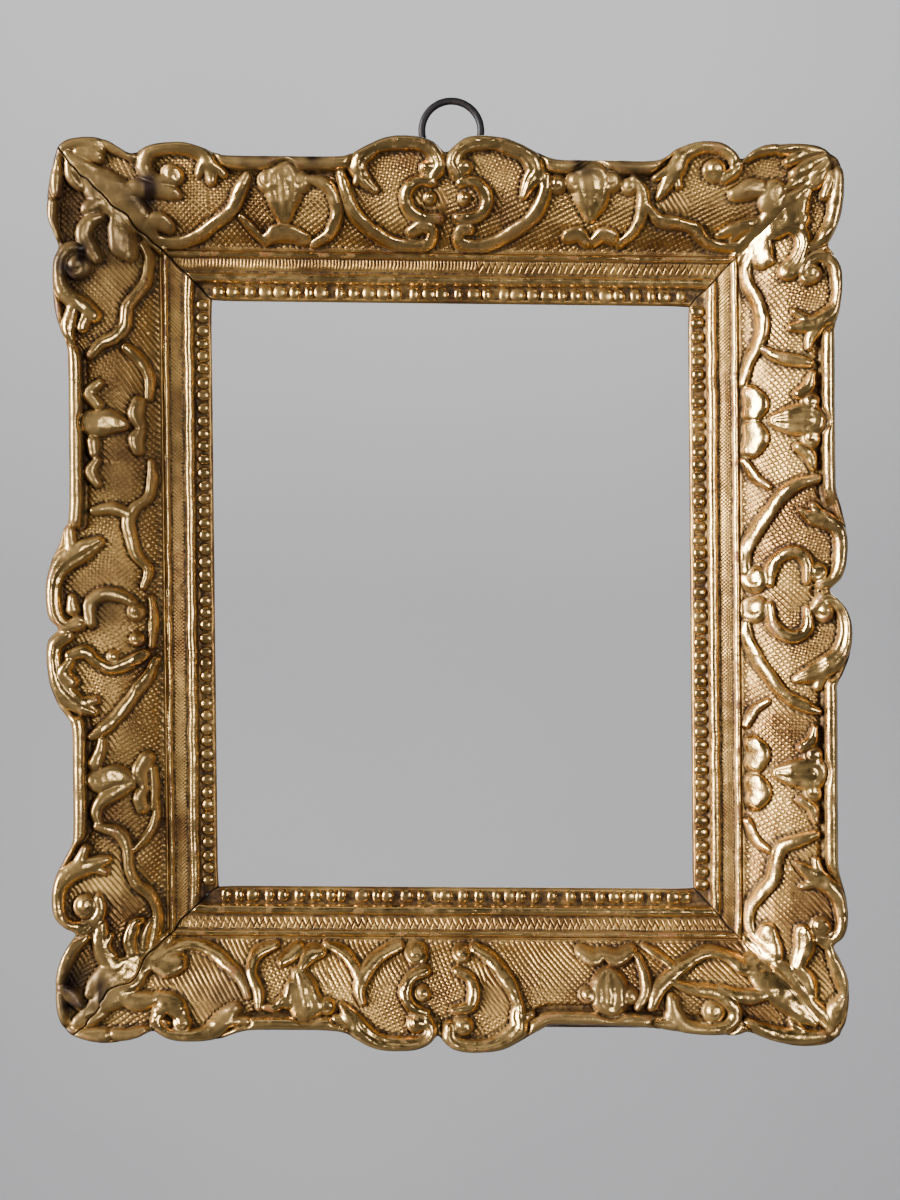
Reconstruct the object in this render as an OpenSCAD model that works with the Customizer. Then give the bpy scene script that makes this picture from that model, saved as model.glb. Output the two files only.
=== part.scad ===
// Carved and gilded picture frame on a hanging ring.
// Four mitred rails, keyed across the back, with the ring's strap and four turn buttons behind.
// Rail drawings use s along the rail, t outward from the sight edge and h forward from the back.

/* [Sight and rebate] */
// Clear width between the two stiles
sight_w = 212; // [180:1:400]
// Clear height between the top and bottom rails
sight_h = 260; // [210:1:500]
// Width of the rebate behind the sight edge
rebate_w = 6; // [4:0.5:8]
// Depth of the rebate from the back
rebate_d = 12; // [8:0.5:14]
// Height of the sight edge above the rebate's ledge
lip_h = 3; // [2:0.5:5]

/* [Rail section] */
// Width of the beaded roll at the sight edge
roll_w = 8; // [6:0.5:10]
// Radius of the roll
roll_r = 3.3; // [2.5:0.1:4]
// Radius of one bead on the roll
bead_r = 3.7; // [3:0.1:4]
// Distance from bead to bead along the roll
bead_pitch = 8; // [6.5:0.5:12]
// Radius of the small burnished fillet outside the roll
fillet_r = 1.2; // [0.8:0.1:1.6]
// Width of the nicked band and its plain edge
band_w = 13.5; // [10:0.5:18]
// Width of the carved frieze
frieze_w = 31.5; // [26:0.5:40]
// Height of the frieze at its inner edge, from the back
frieze_in_h = 22.5; // [21:0.5:26]
// Height of the frieze at its outer edge, from the back
frieze_out_h = 34; // [32:0.5:38]
// Width of the hollow between frieze and outer torus
hollow_w = 2.6; // [2:0.1:4]
// Radius of the torus along the outer edge
torus_r = 3; // [2.5:0.1:4]
// How far the back is narrower than the front, for the sloping side
side_slope = 3.6; // [2:0.1:6]

/* [Carving] */
// How far the carved scrolls stand above the frieze
carve_h = 2.6; // [1.5:0.1:4]
// Width of a scroll's band
scroll_w = 4.6; // [3:0.1:6]
// Radius of the corner lobes
corner_r = 19.5; // [15:0.5:22]
// Height of the crest's top above the back
crest_h = 41.5; // [39:0.5:45]
// Height above the back where the crests leave the side
crest_root_h = 14; // [8:0.5:20]
// Distance from the middle of a rail to its flowers, top and bottom
flower_at_rail = 68; // [60:1:75]
// Distance from the middle of a stile to its flowers
flower_at_stile = 78; // [65:1:90]

/* [Corner keys] */
// Length of the wooden key across the back of each mitre
key_len = 54; // [40:1:58]
// Width of the key at its wide end
key_wide = 14; // [10:0.5:16]
// Width of the key at its narrow end
key_narrow = 10; // [6:0.5:12]
// Depth that the key is let in
key_depth = 6; // [3:0.5:8]
// How far the key's face lies below the back
key_recess = 0.2; // [0.1:0.1:0.5]
// Gap all round the key in its slot
key_gap = 0.1; // [0.05:0.05:0.3]

/* [Hanging ring] */
// Outside diameter of the ring
ring_od = 30; // [24:0.5:40]
// Diameter of the ring's wire
wire_d = 3.3; // [2.5:0.1:4]
// Gap between the wire and the eye that holds it
eye_gap = 0.75; // [0.6:0.05:1.2]
// Width of the eye along the wire
eye_len = 6; // [4:0.5:7]
// How far the eye's axis stands above the back edge of the top rail
eye_rise = 9; // [8:0.5:12]

/* [Hanger strap] */
// Thickness of the iron strap
strap_t = 1.5; // [1:0.1:2.5]
// Width of the strap where it is screwed down
strap_w = 16; // [12:0.5:22]
// Length of the strap on the wood
strap_len = 24; // [22:0.5:34]
// Distance from the rail's back edge to the upper screw
strap_screw_at = 5; // [4:0.5:6]
// Distance between the strap's two screws
strap_screw_pitch = 8; // [7:0.5:9]
// Radius of the screws' shanks
screw_r = 1.5; // [1:0.1:2]
// Radius of the countersunk heads
screw_head_r = 3; // [2.5:0.1:3.5]
// Length of the screws in the wood
screw_len = 12; // [8:0.5:16]

/* [Turn buttons] */
// Length of a turn button from tip to tip
button_len = 28; // [20:1:32]
// Radius of the button's round middle
button_hub_r = 4.6; // [4:0.1:6]
// Radius of the button's ends
button_end_r = 2.8; // [2:0.1:3.5]
// Thickness of the button
button_t = 1.8; // [1.2:0.1:2.5]
// Radial clearance between the button and its screw
button_fit = 0.05; // [0.02:0.01:0.1]
// Gap under and over the button
button_play = 0.3; // [0.2:0.05:0.5]
// Distance from the sight edge to the button's pivot
button_at = 15; // [13:0.5:20]
// Height of each button above or below the middle of its stile
button_up = 65; // [50:1:90]
// Height of the pivot screw's domed head
dome_h = 1.7; // [1.2:0.1:2.5]

/* [Hidden] */
$fn = 64;

// Bounds along t of the bands of the rail's face
band_in = roll_w + 2 * fillet_r;
frieze_in = roll_w + band_w;
frieze_out = frieze_in + frieze_w;
torus_mid = frieze_out + hollow_w + torus_r;
rail_w = torus_mid + torus_r;
back_w = rail_w - side_slope;
sight_edge_h = rebate_d + lip_h;
roll_h = sight_edge_h + 0.2;
torus_h = frieze_out_h + torus_r;
band_h = frieze_in_h - 2;

// Room beyond every outline, for cuts that pass right through
past = 5;
crest_t_max = rail_w + 12;

// Hanging gear, measured from the hook's bearing point inside the top of the ring
wire_r = wire_d / 2;
ring_in_r = ring_od / 2 - wire_d;
ring_mid_r = ring_od / 2 - wire_r;
eye_in_r = wire_r + eye_gap;
eye_out_r = eye_in_r + strap_t;
back_edge_up = sight_h / 2 + back_w;
eye_up = back_edge_up + eye_rise;
centre_z = -(ring_in_r + ring_mid_r) - eye_up;
back_y = -eye_out_r;
head_rise = 0.4;
slot_w = 0.8;

// Lobes of the carved outline: end of the rail (-1 or 1, 0 for its middle), distance in from
// that outer corner or from the middle, how far the lobe reaches past the sight edge, radius
TOP_LOBES = [
    [-1, 50, 66, 22], [0, -22, 70, 24], [0, 22, 70, 24], [1, 56, 68, 20], [1, 22, 68, 20]
];
RIGHT_LOBES = [
    [-1, 14, 66, 20], [-1, 58, 65, 20], [0, -23, 66, 26],
    [0, 20, 68, 22], [1, 54, 65.5, 18], [1, 18, 66, 20]
];
BOTTOM_LOBES = [
    [-1, 18, 66, 22], [-1, 57, 64, 26], [0, -9, 69, 24],
    [0, 28, 68.5, 20], [1, 50, 65, 22], [1, 12, 66, 20]
];
LEFT_LOBES = [
    [-1, 20, 69, 20], [-1, 60, 70, 20], [0, -32, 71, 22],
    [0, 4, 71, 24], [1, 56, 67, 22], [1, 20, 68.5, 20]
];

function lobe_s(lobe, run) = lobe[0] == 0 ? lobe[1] : lobe[0] * (run / 2 + rail_w - lobe[1]);
function lobe_t(lobe) = lobe[2] - lobe[3];

// ---- placing ----

module from_centre() {
    translate([0, back_y, centre_z])
        children();
}

// Turns a rail drawn in s, t, h to its side of the frame
module on_side(turn, half) {
    rotate([0, turn, 0])
        rotate([90, 0, 0])
            translate([0, half, 0])
                children();
}

// Runs a section drawn in t and h along the rail
module along_rail(run) {
    rotate([90, 0, 90])
        linear_extrude(height = run + 2 * crest_t_max, center = true)
            children();
}

// ---- rails ----

module mitred_plan(run) {
    reach = crest_t_max + past;
    polygon([
        [-run / 2 + past, -past], [run / 2 - past, -past],
        [run / 2 + reach, reach], [-run / 2 - reach, reach]
    ]);
}

module rail_section() {
    difference() {
        union() {
            polygon([
                [rebate_w, 0], [back_w, 0], [rail_w, torus_h - torus_r], [rail_w, torus_h],
                [torus_mid, torus_h], [frieze_out, frieze_out_h], [frieze_in, frieze_in_h],
                [frieze_in, band_h + 1], [band_in, band_h], [roll_w, sight_edge_h + 1.5],
                [0.6, sight_edge_h], [0, sight_edge_h - 0.6], [0, rebate_d], [rebate_w, rebate_d]
            ]);
            translate([roll_w / 2, roll_h])
                circle(r = roll_r);
            translate([band_in - fillet_r, band_h - 0.5])
                circle(r = fillet_r);
            translate([torus_mid, torus_h])
                circle(r = torus_r);
        }
        translate([frieze_out + hollow_w / 2, frieze_out_h + hollow_w / 2])
            circle(r = hollow_w / 2 + 0.3);
    }
}

// The crests' section: a lip that grows out of the side and rolls over at the top
module crest_section() {
    inner = frieze_out - 4;
    polygon([
        [inner, crest_root_h], [back_w, crest_root_h], [crest_t_max, crest_root_h + 14],
        [crest_t_max, crest_h - 3], [rail_w + 4, crest_h], [torus_mid, crest_h - 0.6],
        [frieze_out, frieze_out_h + carve_h], [inner, frieze_out_h]
    ]);
}

// The section that the carved scrolls fill, a little above the frieze
module relief_section() {
    foot = frieze_in + 1.5;
    polygon([
        [foot, frieze_in_h - 3], [frieze_out, frieze_in_h - 3], [rail_w, frieze_in_h],
        [rail_w + 4, crest_h + 1], [torus_mid, crest_h + 1], [frieze_out, frieze_out_h + 2 * carve_h],
        [foot, frieze_in_h + carve_h]
    ]);
}

module crest_plan(run, lobes) {
    for (lobe = lobes)
        translate([lobe_s(lobe, run), lobe_t(lobe)])
            circle(r = lobe[3]);
    for (side = [-1, 1])
        translate([side * (run / 2 + 48), 48])
            circle(r = corner_r);
}

// A C-scroll: a band round most of a circle, open towards the frieze, with a curled eye
module c_scroll_plan(r, hand) {
    difference() {
        circle(r = r);
        circle(r = r - scroll_w);
        polygon([[0, -r / 4], [2 * r, -2 * r], [-2 * r, -2 * r], [-hand * 2 * r, -r / 3]]);
    }
    translate([hand * (r - 1.6 * scroll_w), -r / 4])
        circle(r = 0.9 * scroll_w);
}

// A flower on a short stem between two balls
module flower_plan() {
    petal_r = 5;
    mid_t = (frieze_in + frieze_out) / 2;
    for (step = [-1, 0, 1])
        translate([step * 9, frieze_out - petal_r - abs(step)])
            circle(r = petal_r);
    polygon([[-11, frieze_out - 6], [11, frieze_out - 6], [2.5, mid_t - 3], [-2.5, mid_t - 3]]);
    for (side = [-1, 1])
        translate([side * 6.5, frieze_in + 6.5])
            circle(r = 4.6);
}

// Two back-to-back scrolls that frame the middle of a rail
module cartouche_plan() {
    loop_r = 9.5;
    for (side = [-1, 1])
        translate([side * 11, frieze_in + 17])
            difference() {
                circle(r = loop_r);
                circle(r = loop_r - scroll_w + 0.6);
            }
    for (side = [-1, 1])
        translate([side * 7, frieze_in + 6])
            circle(r = 5);
}

module carving_plan(run, lobes, flower_at) {
    for (lobe = lobes)
        translate([lobe_s(lobe, run), lobe_t(lobe)])
            c_scroll_plan(lobe[3] - 0.8, lobe_s(lobe, run) > 0 ? 1 : -1);
    for (side = [-1, 1])
        translate([side * flower_at, 0])
            flower_plan();
    cartouche_plan();
}

// A leaf along each mitre, half of it on each rail
module corner_leaf_plan(run) {
    leaf_in = frieze_in + 6;
    leaf_out = frieze_out - 1;
    for (side = [-1, 1])
        for (step = [0 : 3]) {
            t = leaf_in + step * (leaf_out - leaf_in) / 3;
            translate([side * (run / 2 + t), t])
                circle(r = 5 + step);
        }
}

module bead_row(run) {
    count = floor((run + roll_w) / bead_pitch);
    for (i = [0 : count - 1])
        translate([(i - (count - 1) / 2) * bead_pitch, roll_w / 2, roll_h])
            sphere(r = bead_r, $fn = 32);
}

module carved_rail(run, lobes, flower_at) {
    intersection() {
        linear_extrude(height = crest_h + past)
            mitred_plan(run);
        union() {
            along_rail(run)
                rail_section();
            intersection() {
                along_rail(run)
                    crest_section();
                linear_extrude(height = crest_h + past)
                    crest_plan(run, lobes);
            }
            intersection() {
                along_rail(run)
                    relief_section();
                linear_extrude(height = crest_h + past)
                    union() {
                        carving_plan(run, lobes, flower_at);
                        corner_leaf_plan(run);
                    }
            }
            bead_row(run);
        }
    }
}

module gilt() {
    color([0.79, 0.6, 0.26])
        children();
}

module top_rail() {
    gilt()
        from_centre()
            difference() {
                on_side(0, sight_h / 2)
                    carved_rail(sight_w, TOP_LOBES, flower_at_rail);
                key_slots([[-1, 1], [1, 1]]);
                for (z = strap_screw_heights())
                    translate([0, 0, z])
                        pilot_hole();
            }
}

module bottom_rail() {
    gilt()
        from_centre()
            difference() {
                on_side(180, sight_h / 2)
                    carved_rail(sight_w, BOTTOM_LOBES, flower_at_rail);
                key_slots([[-1, -1], [1, -1]]);
            }
}

module stile(side, lobes) {
    gilt()
        from_centre()
            difference() {
                on_side(side * 90, sight_w / 2)
                    carved_rail(sight_h, lobes, flower_at_stile);
                key_slots([[side, -1], [side, 1]]);
                for (end = [-1, 1])
                    at_button(side, end)
                        pilot_hole();
            }
}

module left_rail() {
    stile(-1, LEFT_LOBES);
}

module right_rail() {
    stile(1, RIGHT_LOBES);
}

// ---- corner keys ----

// Plan of a key for the top right corner, wide end in the top rail
module key_plan(gap) {
    rotate(-45)
        polygon([
            [-key_len / 2 - gap, -key_wide / 2 - gap], [key_len / 2 + gap, -key_narrow / 2 - gap],
            [key_len / 2 + gap, key_narrow / 2 + gap], [-key_len / 2 - gap, key_wide / 2 + gap]
        ]);
}

// Brings a piece drawn for the top right corner to the corner with the given signs
module at_corner(side, end) {
    key_t = back_w / 2 + 1;
    mirror([side < 0 ? 1 : 0, 0, 0])
        mirror([0, 0, end < 0 ? 1 : 0])
            translate([sight_w / 2 + key_t, 0, sight_h / 2 + key_t])
                children();
}

module key_slots(corners) {
    for (corner = corners)
        at_corner(corner[0], corner[1])
            translate([0, past, 0])
                rotate([90, 0, 0])
                    linear_extrude(height = key_depth + key_gap + past)
                        key_plan(key_gap);
}

module corner_key(side, end) {
    color([0.45, 0.31, 0.19])
        from_centre()
            at_corner(side, end)
                translate([0, -key_recess, 0])
                    rotate([90, 0, 0])
                        linear_extrude(height = key_depth - key_recess)
                            key_plan(0);
}

// ---- screws ----

function strap_screw_heights() = [
    for (i = [0, 1]) back_edge_up - strap_screw_at - i * strap_screw_pitch
];

// A hole straight into the back
module pilot_hole() {
    rotate([90, 0, 0])
        translate([0, 0, -past])
            cylinder(r = screw_r, h = screw_len + past);
}

// The shank of a screw driven into the back, from a height above it down to the tip
module shank(above) {
    tip = 2;
    rotate([90, 0, 0]) {
        translate([0, 0, -above])
            cylinder(r = screw_r, h = screw_len - tip + above);
        translate([0, 0, screw_len - tip])
            cylinder(r1 = screw_r, r2 = 0.2, h = tip);
    }
}

// A low domed cap of radius r and height h, rising along +Y
module dome(r, h) {
    ball_r = (r * r + h * h) / (2 * h);
    intersection() {
        translate([0, h - ball_r, 0])
            sphere(r = ball_r);
        rotate([-90, 0, 0])
            cylinder(r = r, h = h);
    }
}

module slot_cut(width, depth, top) {
    translate([-width / 2, top - depth, -slot_w / 2])
        cube([width, depth + past, slot_w]);
}

module strap_screw(index) {
    head_y = strap_t;
    cone_h = screw_head_r - screw_r;
    color([0.2, 0.19, 0.18])
        from_centre()
            translate([0, 0, strap_screw_heights()[index]])
                difference() {
                    union() {
                        translate([0, head_y, 0])
                            rotate([90, 0, 0])
                                cylinder(r1 = screw_head_r, r2 = screw_r, h = cone_h);
                        translate([0, head_y, 0])
                            dome(screw_head_r, head_rise);
                        shank(head_y - cone_h / 2);
                    }
                    slot_cut(2 * screw_head_r + past, 0.9, head_y + head_rise);
                }
}

module pivot_screw(side, end) {
    seat_y = 2 * button_play + button_t;
    color([0.72, 0.6, 0.32])
        from_centre()
            at_button(side, end)
                difference() {
                    union() {
                        translate([0, seat_y, 0])
                            dome(button_hub_r - 1, dome_h);
                        shank(seat_y + 0.2);
                    }
                    slot_cut(2 * button_hub_r + past, 0.9, seat_y + dome_h);
                }
}

// ---- hanging gear ----

module hanger_strap() {
    low_z = back_edge_up - strap_len;
    shoulder_z = back_edge_up - 1;
    neck_z = shoulder_z + 4;
    cone_h = screw_head_r - screw_r;
    color([0.13, 0.12, 0.12])
        from_centre()
            difference() {
                union() {
                    translate([0, strap_t, 0])
                        rotate([90, 0, 0])
                            linear_extrude(height = strap_t)
                                union() {
                                    translate([0, low_z + strap_w / 2])
                                        circle(d = strap_w);
                                    polygon([
                                        [-strap_w / 2, low_z + strap_w / 2],
                                        [strap_w / 2, low_z + strap_w / 2],
                                        [strap_w / 2, shoulder_z], [eye_len / 2, neck_z],
                                        [eye_len / 2, eye_up], [-eye_len / 2, eye_up],
                                        [-eye_len / 2, neck_z], [-strap_w / 2, shoulder_z]
                                    ]);
                                }
                    translate([0, eye_out_r, eye_up])
                        rotate([0, 90, 0])
                            cylinder(r = eye_out_r, h = eye_len, center = true);
                }
                translate([0, eye_out_r, eye_up])
                    rotate([0, 90, 0])
                        cylinder(r = eye_in_r, h = eye_len + past, center = true);
                for (z = strap_screw_heights()) {
                    translate([0, strap_t + past, z])
                        rotate([90, 0, 0])
                            cylinder(r = screw_r + 0.1, h = strap_t + 2 * past);
                    translate([0, strap_t + 0.05, z])
                        rotate([90, 0, 0])
                            cylinder(r1 = screw_head_r + 0.15, r2 = screw_r + 0.1, h = cone_h + 0.05);
                }
            }
}

module hanging_ring() {
    color([0.1, 0.1, 0.1])
        translate([0, 0, -ring_in_r])
            rotate([90, 0, 0])
                rotate_extrude($fn = 96)
                    translate([ring_mid_r, 0])
                        circle(r = wire_r);
}

// ---- turn buttons ----

module at_button(side, end) {
    translate([side * (sight_w / 2 + button_at), 0, end * button_up])
        children();
}

module turn_button(side, end) {
    tip_z = button_len / 2 - button_end_r;
    waist = button_hub_r - 0.9;
    color([0.78, 0.62, 0.3])
        from_centre()
            at_button(side, end)
                translate([0, button_play + button_t, 0])
                    rotate([90, 0, 0])
                        difference() {
                            linear_extrude(height = button_t)
                                union() {
                                    circle(r = button_hub_r);
                                    polygon([
                                        [-button_end_r, -tip_z], [button_end_r, -tip_z],
                                        [waist, 0], [button_end_r, tip_z],
                                        [-button_end_r, tip_z], [-waist, 0]
                                    ]);
                                    for (up = [-1, 1])
                                        translate([0, up * tip_z])
                                            circle(r = button_end_r);
                                }
                            translate([0, 0, -past])
                                cylinder(r = screw_r + button_fit, h = button_t + 2 * past);
                        }
}

top_rail();
bottom_rail();
left_rail();
right_rail();
corner_key(-1, 1);  // key_top_left
corner_key(1, 1);  // key_top_right
corner_key(-1, -1);  // key_bottom_left
corner_key(1, -1);  // key_bottom_right
hanger_strap();
strap_screw(0);  // strap_screw_upper
strap_screw(1);  // strap_screw_lower
hanging_ring();
turn_button(-1, 1);  // turn_button_left_upper
turn_button(-1, -1);  // turn_button_left_lower
turn_button(1, 1);  // turn_button_right_upper
turn_button(1, -1);  // turn_button_right_lower
pivot_screw(-1, 1);  // pivot_screw_left_upper
pivot_screw(-1, -1);  // pivot_screw_left_lower
pivot_screw(1, 1);  // pivot_screw_right_upper
pivot_screw(1, -1);  // pivot_screw_right_lower
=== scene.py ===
"""A carved and gilded picture frame with its hanging ring, seen as on a wall hook.

Sizes in the drawing are in mm. Along each rail, s runs from mitre to mitre, to the right when the rail
is turned with its outer edge up, t runs outward from the sight edge and h forward from the back.
"""
import math

import bpy
import numpy as np
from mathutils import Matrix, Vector


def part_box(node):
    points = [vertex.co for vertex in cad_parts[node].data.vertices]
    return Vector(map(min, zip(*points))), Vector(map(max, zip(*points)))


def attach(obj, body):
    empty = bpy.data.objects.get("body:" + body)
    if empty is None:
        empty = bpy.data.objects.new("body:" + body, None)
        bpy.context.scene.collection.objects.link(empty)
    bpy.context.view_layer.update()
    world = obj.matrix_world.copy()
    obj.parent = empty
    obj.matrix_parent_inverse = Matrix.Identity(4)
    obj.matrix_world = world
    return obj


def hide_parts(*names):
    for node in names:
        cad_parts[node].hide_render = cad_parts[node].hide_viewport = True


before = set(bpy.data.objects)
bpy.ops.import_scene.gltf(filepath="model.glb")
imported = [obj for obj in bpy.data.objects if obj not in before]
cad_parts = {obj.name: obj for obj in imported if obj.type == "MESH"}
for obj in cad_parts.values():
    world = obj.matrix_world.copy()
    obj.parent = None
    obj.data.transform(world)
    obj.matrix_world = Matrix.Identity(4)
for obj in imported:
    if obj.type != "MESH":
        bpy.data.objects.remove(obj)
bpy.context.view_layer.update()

MM = 0.001
RAIL_NAMES = ("top", "right", "bottom", "left")
top_low, top_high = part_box("top_rail")
bottom_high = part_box("bottom_rail")[1]
left_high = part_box("left_rail")[1]
right_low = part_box("right_rail")[0]
# Half the sight's width and height in mm, its middle in metres and the plane of the frame's back
HALF_W = (right_low.x - left_high.x) / MM / 2
HALF_H = (top_low.z - bottom_high.z) / MM / 2
CENTRE_X = (right_low.x + left_high.x) / 2
CENTRE_Z = (top_low.z + bottom_high.z) / 2
BACK_Y = top_high.y

# The rails' section, in mm
REBATE_WIDE = 6.0
REBATE_DEEP = 12.0
BACK_WIDE = 57.4
MOULDING_WIDE = 21.5
# How far the old frame leans out of square, in mm for each mm up and for each mm across
LEAN_ACROSS = 0.0080
LEAN_UP = 0.0108
# Where the row of beads lies on the sight roll
BEAD_T = 3.9
BEAD_H = 16.3
# Each point of a gilt piece carries these values, from 0 to 1
VALUE_NAMES = ("hollow", "proud", "burnish", "bare", "side", "crack", "darkening")


# ---- camera ----

# The lens in mm, the camera's place and aim in metres from the middle of the frame's back, and its roll
# in degrees
LENS = 66.3
CAMERA_PLACE = (-0.0215, -0.9993, 0.01285)
CAMERA_AIM = (-0.0014, -0.015, -0.0018)
CAMERA_ROLL = -0.1


def from_middle(offset):
    """A place in metres, from its distance to the middle of the frame's back."""
    return CENTRE_X + offset[0], BACK_Y + offset[1], CENTRE_Z + offset[2]


def turned_to(aim, place):
    """The turn that points a camera or a light from its place to its aim."""
    return (Vector(aim) - Vector(place)).to_track_quat("-Z", "Y").to_euler()


def add_to_scene(name, data):
    """An object with this data, put in the scene."""
    thing = bpy.data.objects.new(name, data)
    bpy.context.scene.collection.objects.link(thing)
    return thing


def add_camera():
    """The camera, a little left of the middle and level with it."""
    data = bpy.data.cameras.new("camera")
    camera = add_to_scene("camera", data)
    data.sensor_fit = "AUTO"
    data.sensor_width = 36
    data.lens = LENS
    data.clip_start = 0.05
    data.clip_end = 50
    camera.location = from_middle(CAMERA_PLACE)
    turn = turned_to(from_middle(CAMERA_AIM), camera.location)
    turn.rotate_axis("Z", math.radians(CAMERA_ROLL))
    camera.rotation_euler = turn
    bpy.context.scene.camera = camera


add_camera()

# ---- the carver's drawing ----
# OUTLINE is each rail's carved outer edge as (s, t), from one mitre to the other.
# STROKES are the raised scrolls, straps and leaves: how far each rises above the ground, then
# (s, t, half width) along it. A stroke of one point is a ball.
# CORNER_LEAVES are the same for the corners, by the corner's side and end, with each point measured
# out from the sight corner, across and then up.

OUTLINE = {
    "top": [
        (-169.5, 63.5), (-165, 66.3), (-157, 67.5), (-149, 66.5), (-143, 63.2), (-138, 61), (-134, 63),
        (-127, 65.3), (-116, 66), (-108, 64), (-101, 61.6), (-95, 60.8), (-70, 60.8), (-50, 61), (-44, 62),
        (-36, 65.5), (-28, 69), (-20, 70.3), (-12, 69.5), (-6, 67), (-2, 63.2), (2, 66), (7, 69.5),
        (14, 70.5), (22, 70), (30, 67.5), (38, 63.8), (44, 61.5), (50, 60.8), (70, 60.8), (88, 60.9),
        (94, 62.5), (99, 66), (106, 68.6), (113, 69.3), (119, 68.5), (124, 65.3), (127.5, 62), (132, 65.5),
        (139, 68.2), (150, 68.8), (161, 67.5), (169, 63)],
    "right": [
        (-193, 63), (-187, 65.5), (-178, 66), (-168, 64.5), (-160, 61.5), (-155, 59.3), (-150, 62.5),
        (-145, 64.2), (-138, 64.7), (-128, 63.7), (-120, 62), (-114, 61.6), (-80, 61.5), (-54, 61.5),
        (-48, 61.9), (-40, 63.8), (-30, 66), (-20, 66.2), (-10, 63.8), (-4, 58.7), (0, 62.5), (6, 66.5),
        (15, 68), (24, 67), (32, 64), (38, 61.5), (44, 61.6), (80, 61.5), (108, 61.5), (117, 61.6),
        (124, 63), (132, 65), (141, 65.4), (148, 63), (152, 59.3), (158, 62), (166, 65), (175, 65.6),
        (184, 64.3), (191.5, 61.5)],
    "bottom": [
        (-167.5, 61.5), (-162, 64.6), (-155, 65.8), (-147, 65.6), (-139, 64), (-132, 61.8), (-127, 60),
        (-122, 61.4), (-115, 61.5), (-103, 61), (-92, 59.5), (-82, 58.3), (-60, 57.3), (-42, 57.3),
        (-35, 60), (-27, 64.5), (-19, 68), (-10, 69.2), (0, 68.8), (5, 66.3), (9, 62.5), (13, 66),
        (20, 68.4), (30, 68.8), (38, 67.3), (45, 64), (50, 61.3), (58, 60.3), (75, 60.1), (90, 60.2),
        (97, 61.5), (104, 63.8), (114, 65), (124, 64.6), (130, 62.5), (134, 61), (140, 63.5), (148, 65.4),
        (158, 65.8), (168.5, 62.5)],
    "left": [
        (-192.5, 62.5), (-187, 67), (-179, 69), (-168, 69), (-160, 67), (-153, 63.3), (-148.5, 60.6),
        (-145.5, 65), (-141, 69.3), (-134, 70.4), (-125, 69.2), (-117, 65.5), (-110, 62), (-104, 61),
        (-80, 60.9), (-60, 61), (-54, 63), (-48, 67), (-40, 70), (-30, 71.2), (-21, 70.8), (-15.5, 66.3),
        (-11, 70), (-3, 71.3), (6, 70.8), (14, 68.8), (21, 65.5), (28, 63.3), (34, 61.3), (60, 60.8),
        (100, 60.8), (108, 61.5), (115, 64), (123, 66), (135, 66.8), (144, 66.4), (150, 64.2), (156, 66),
        (163, 68.5), (172, 68.5), (182, 67), (193.5, 63.5)],
}

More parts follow.
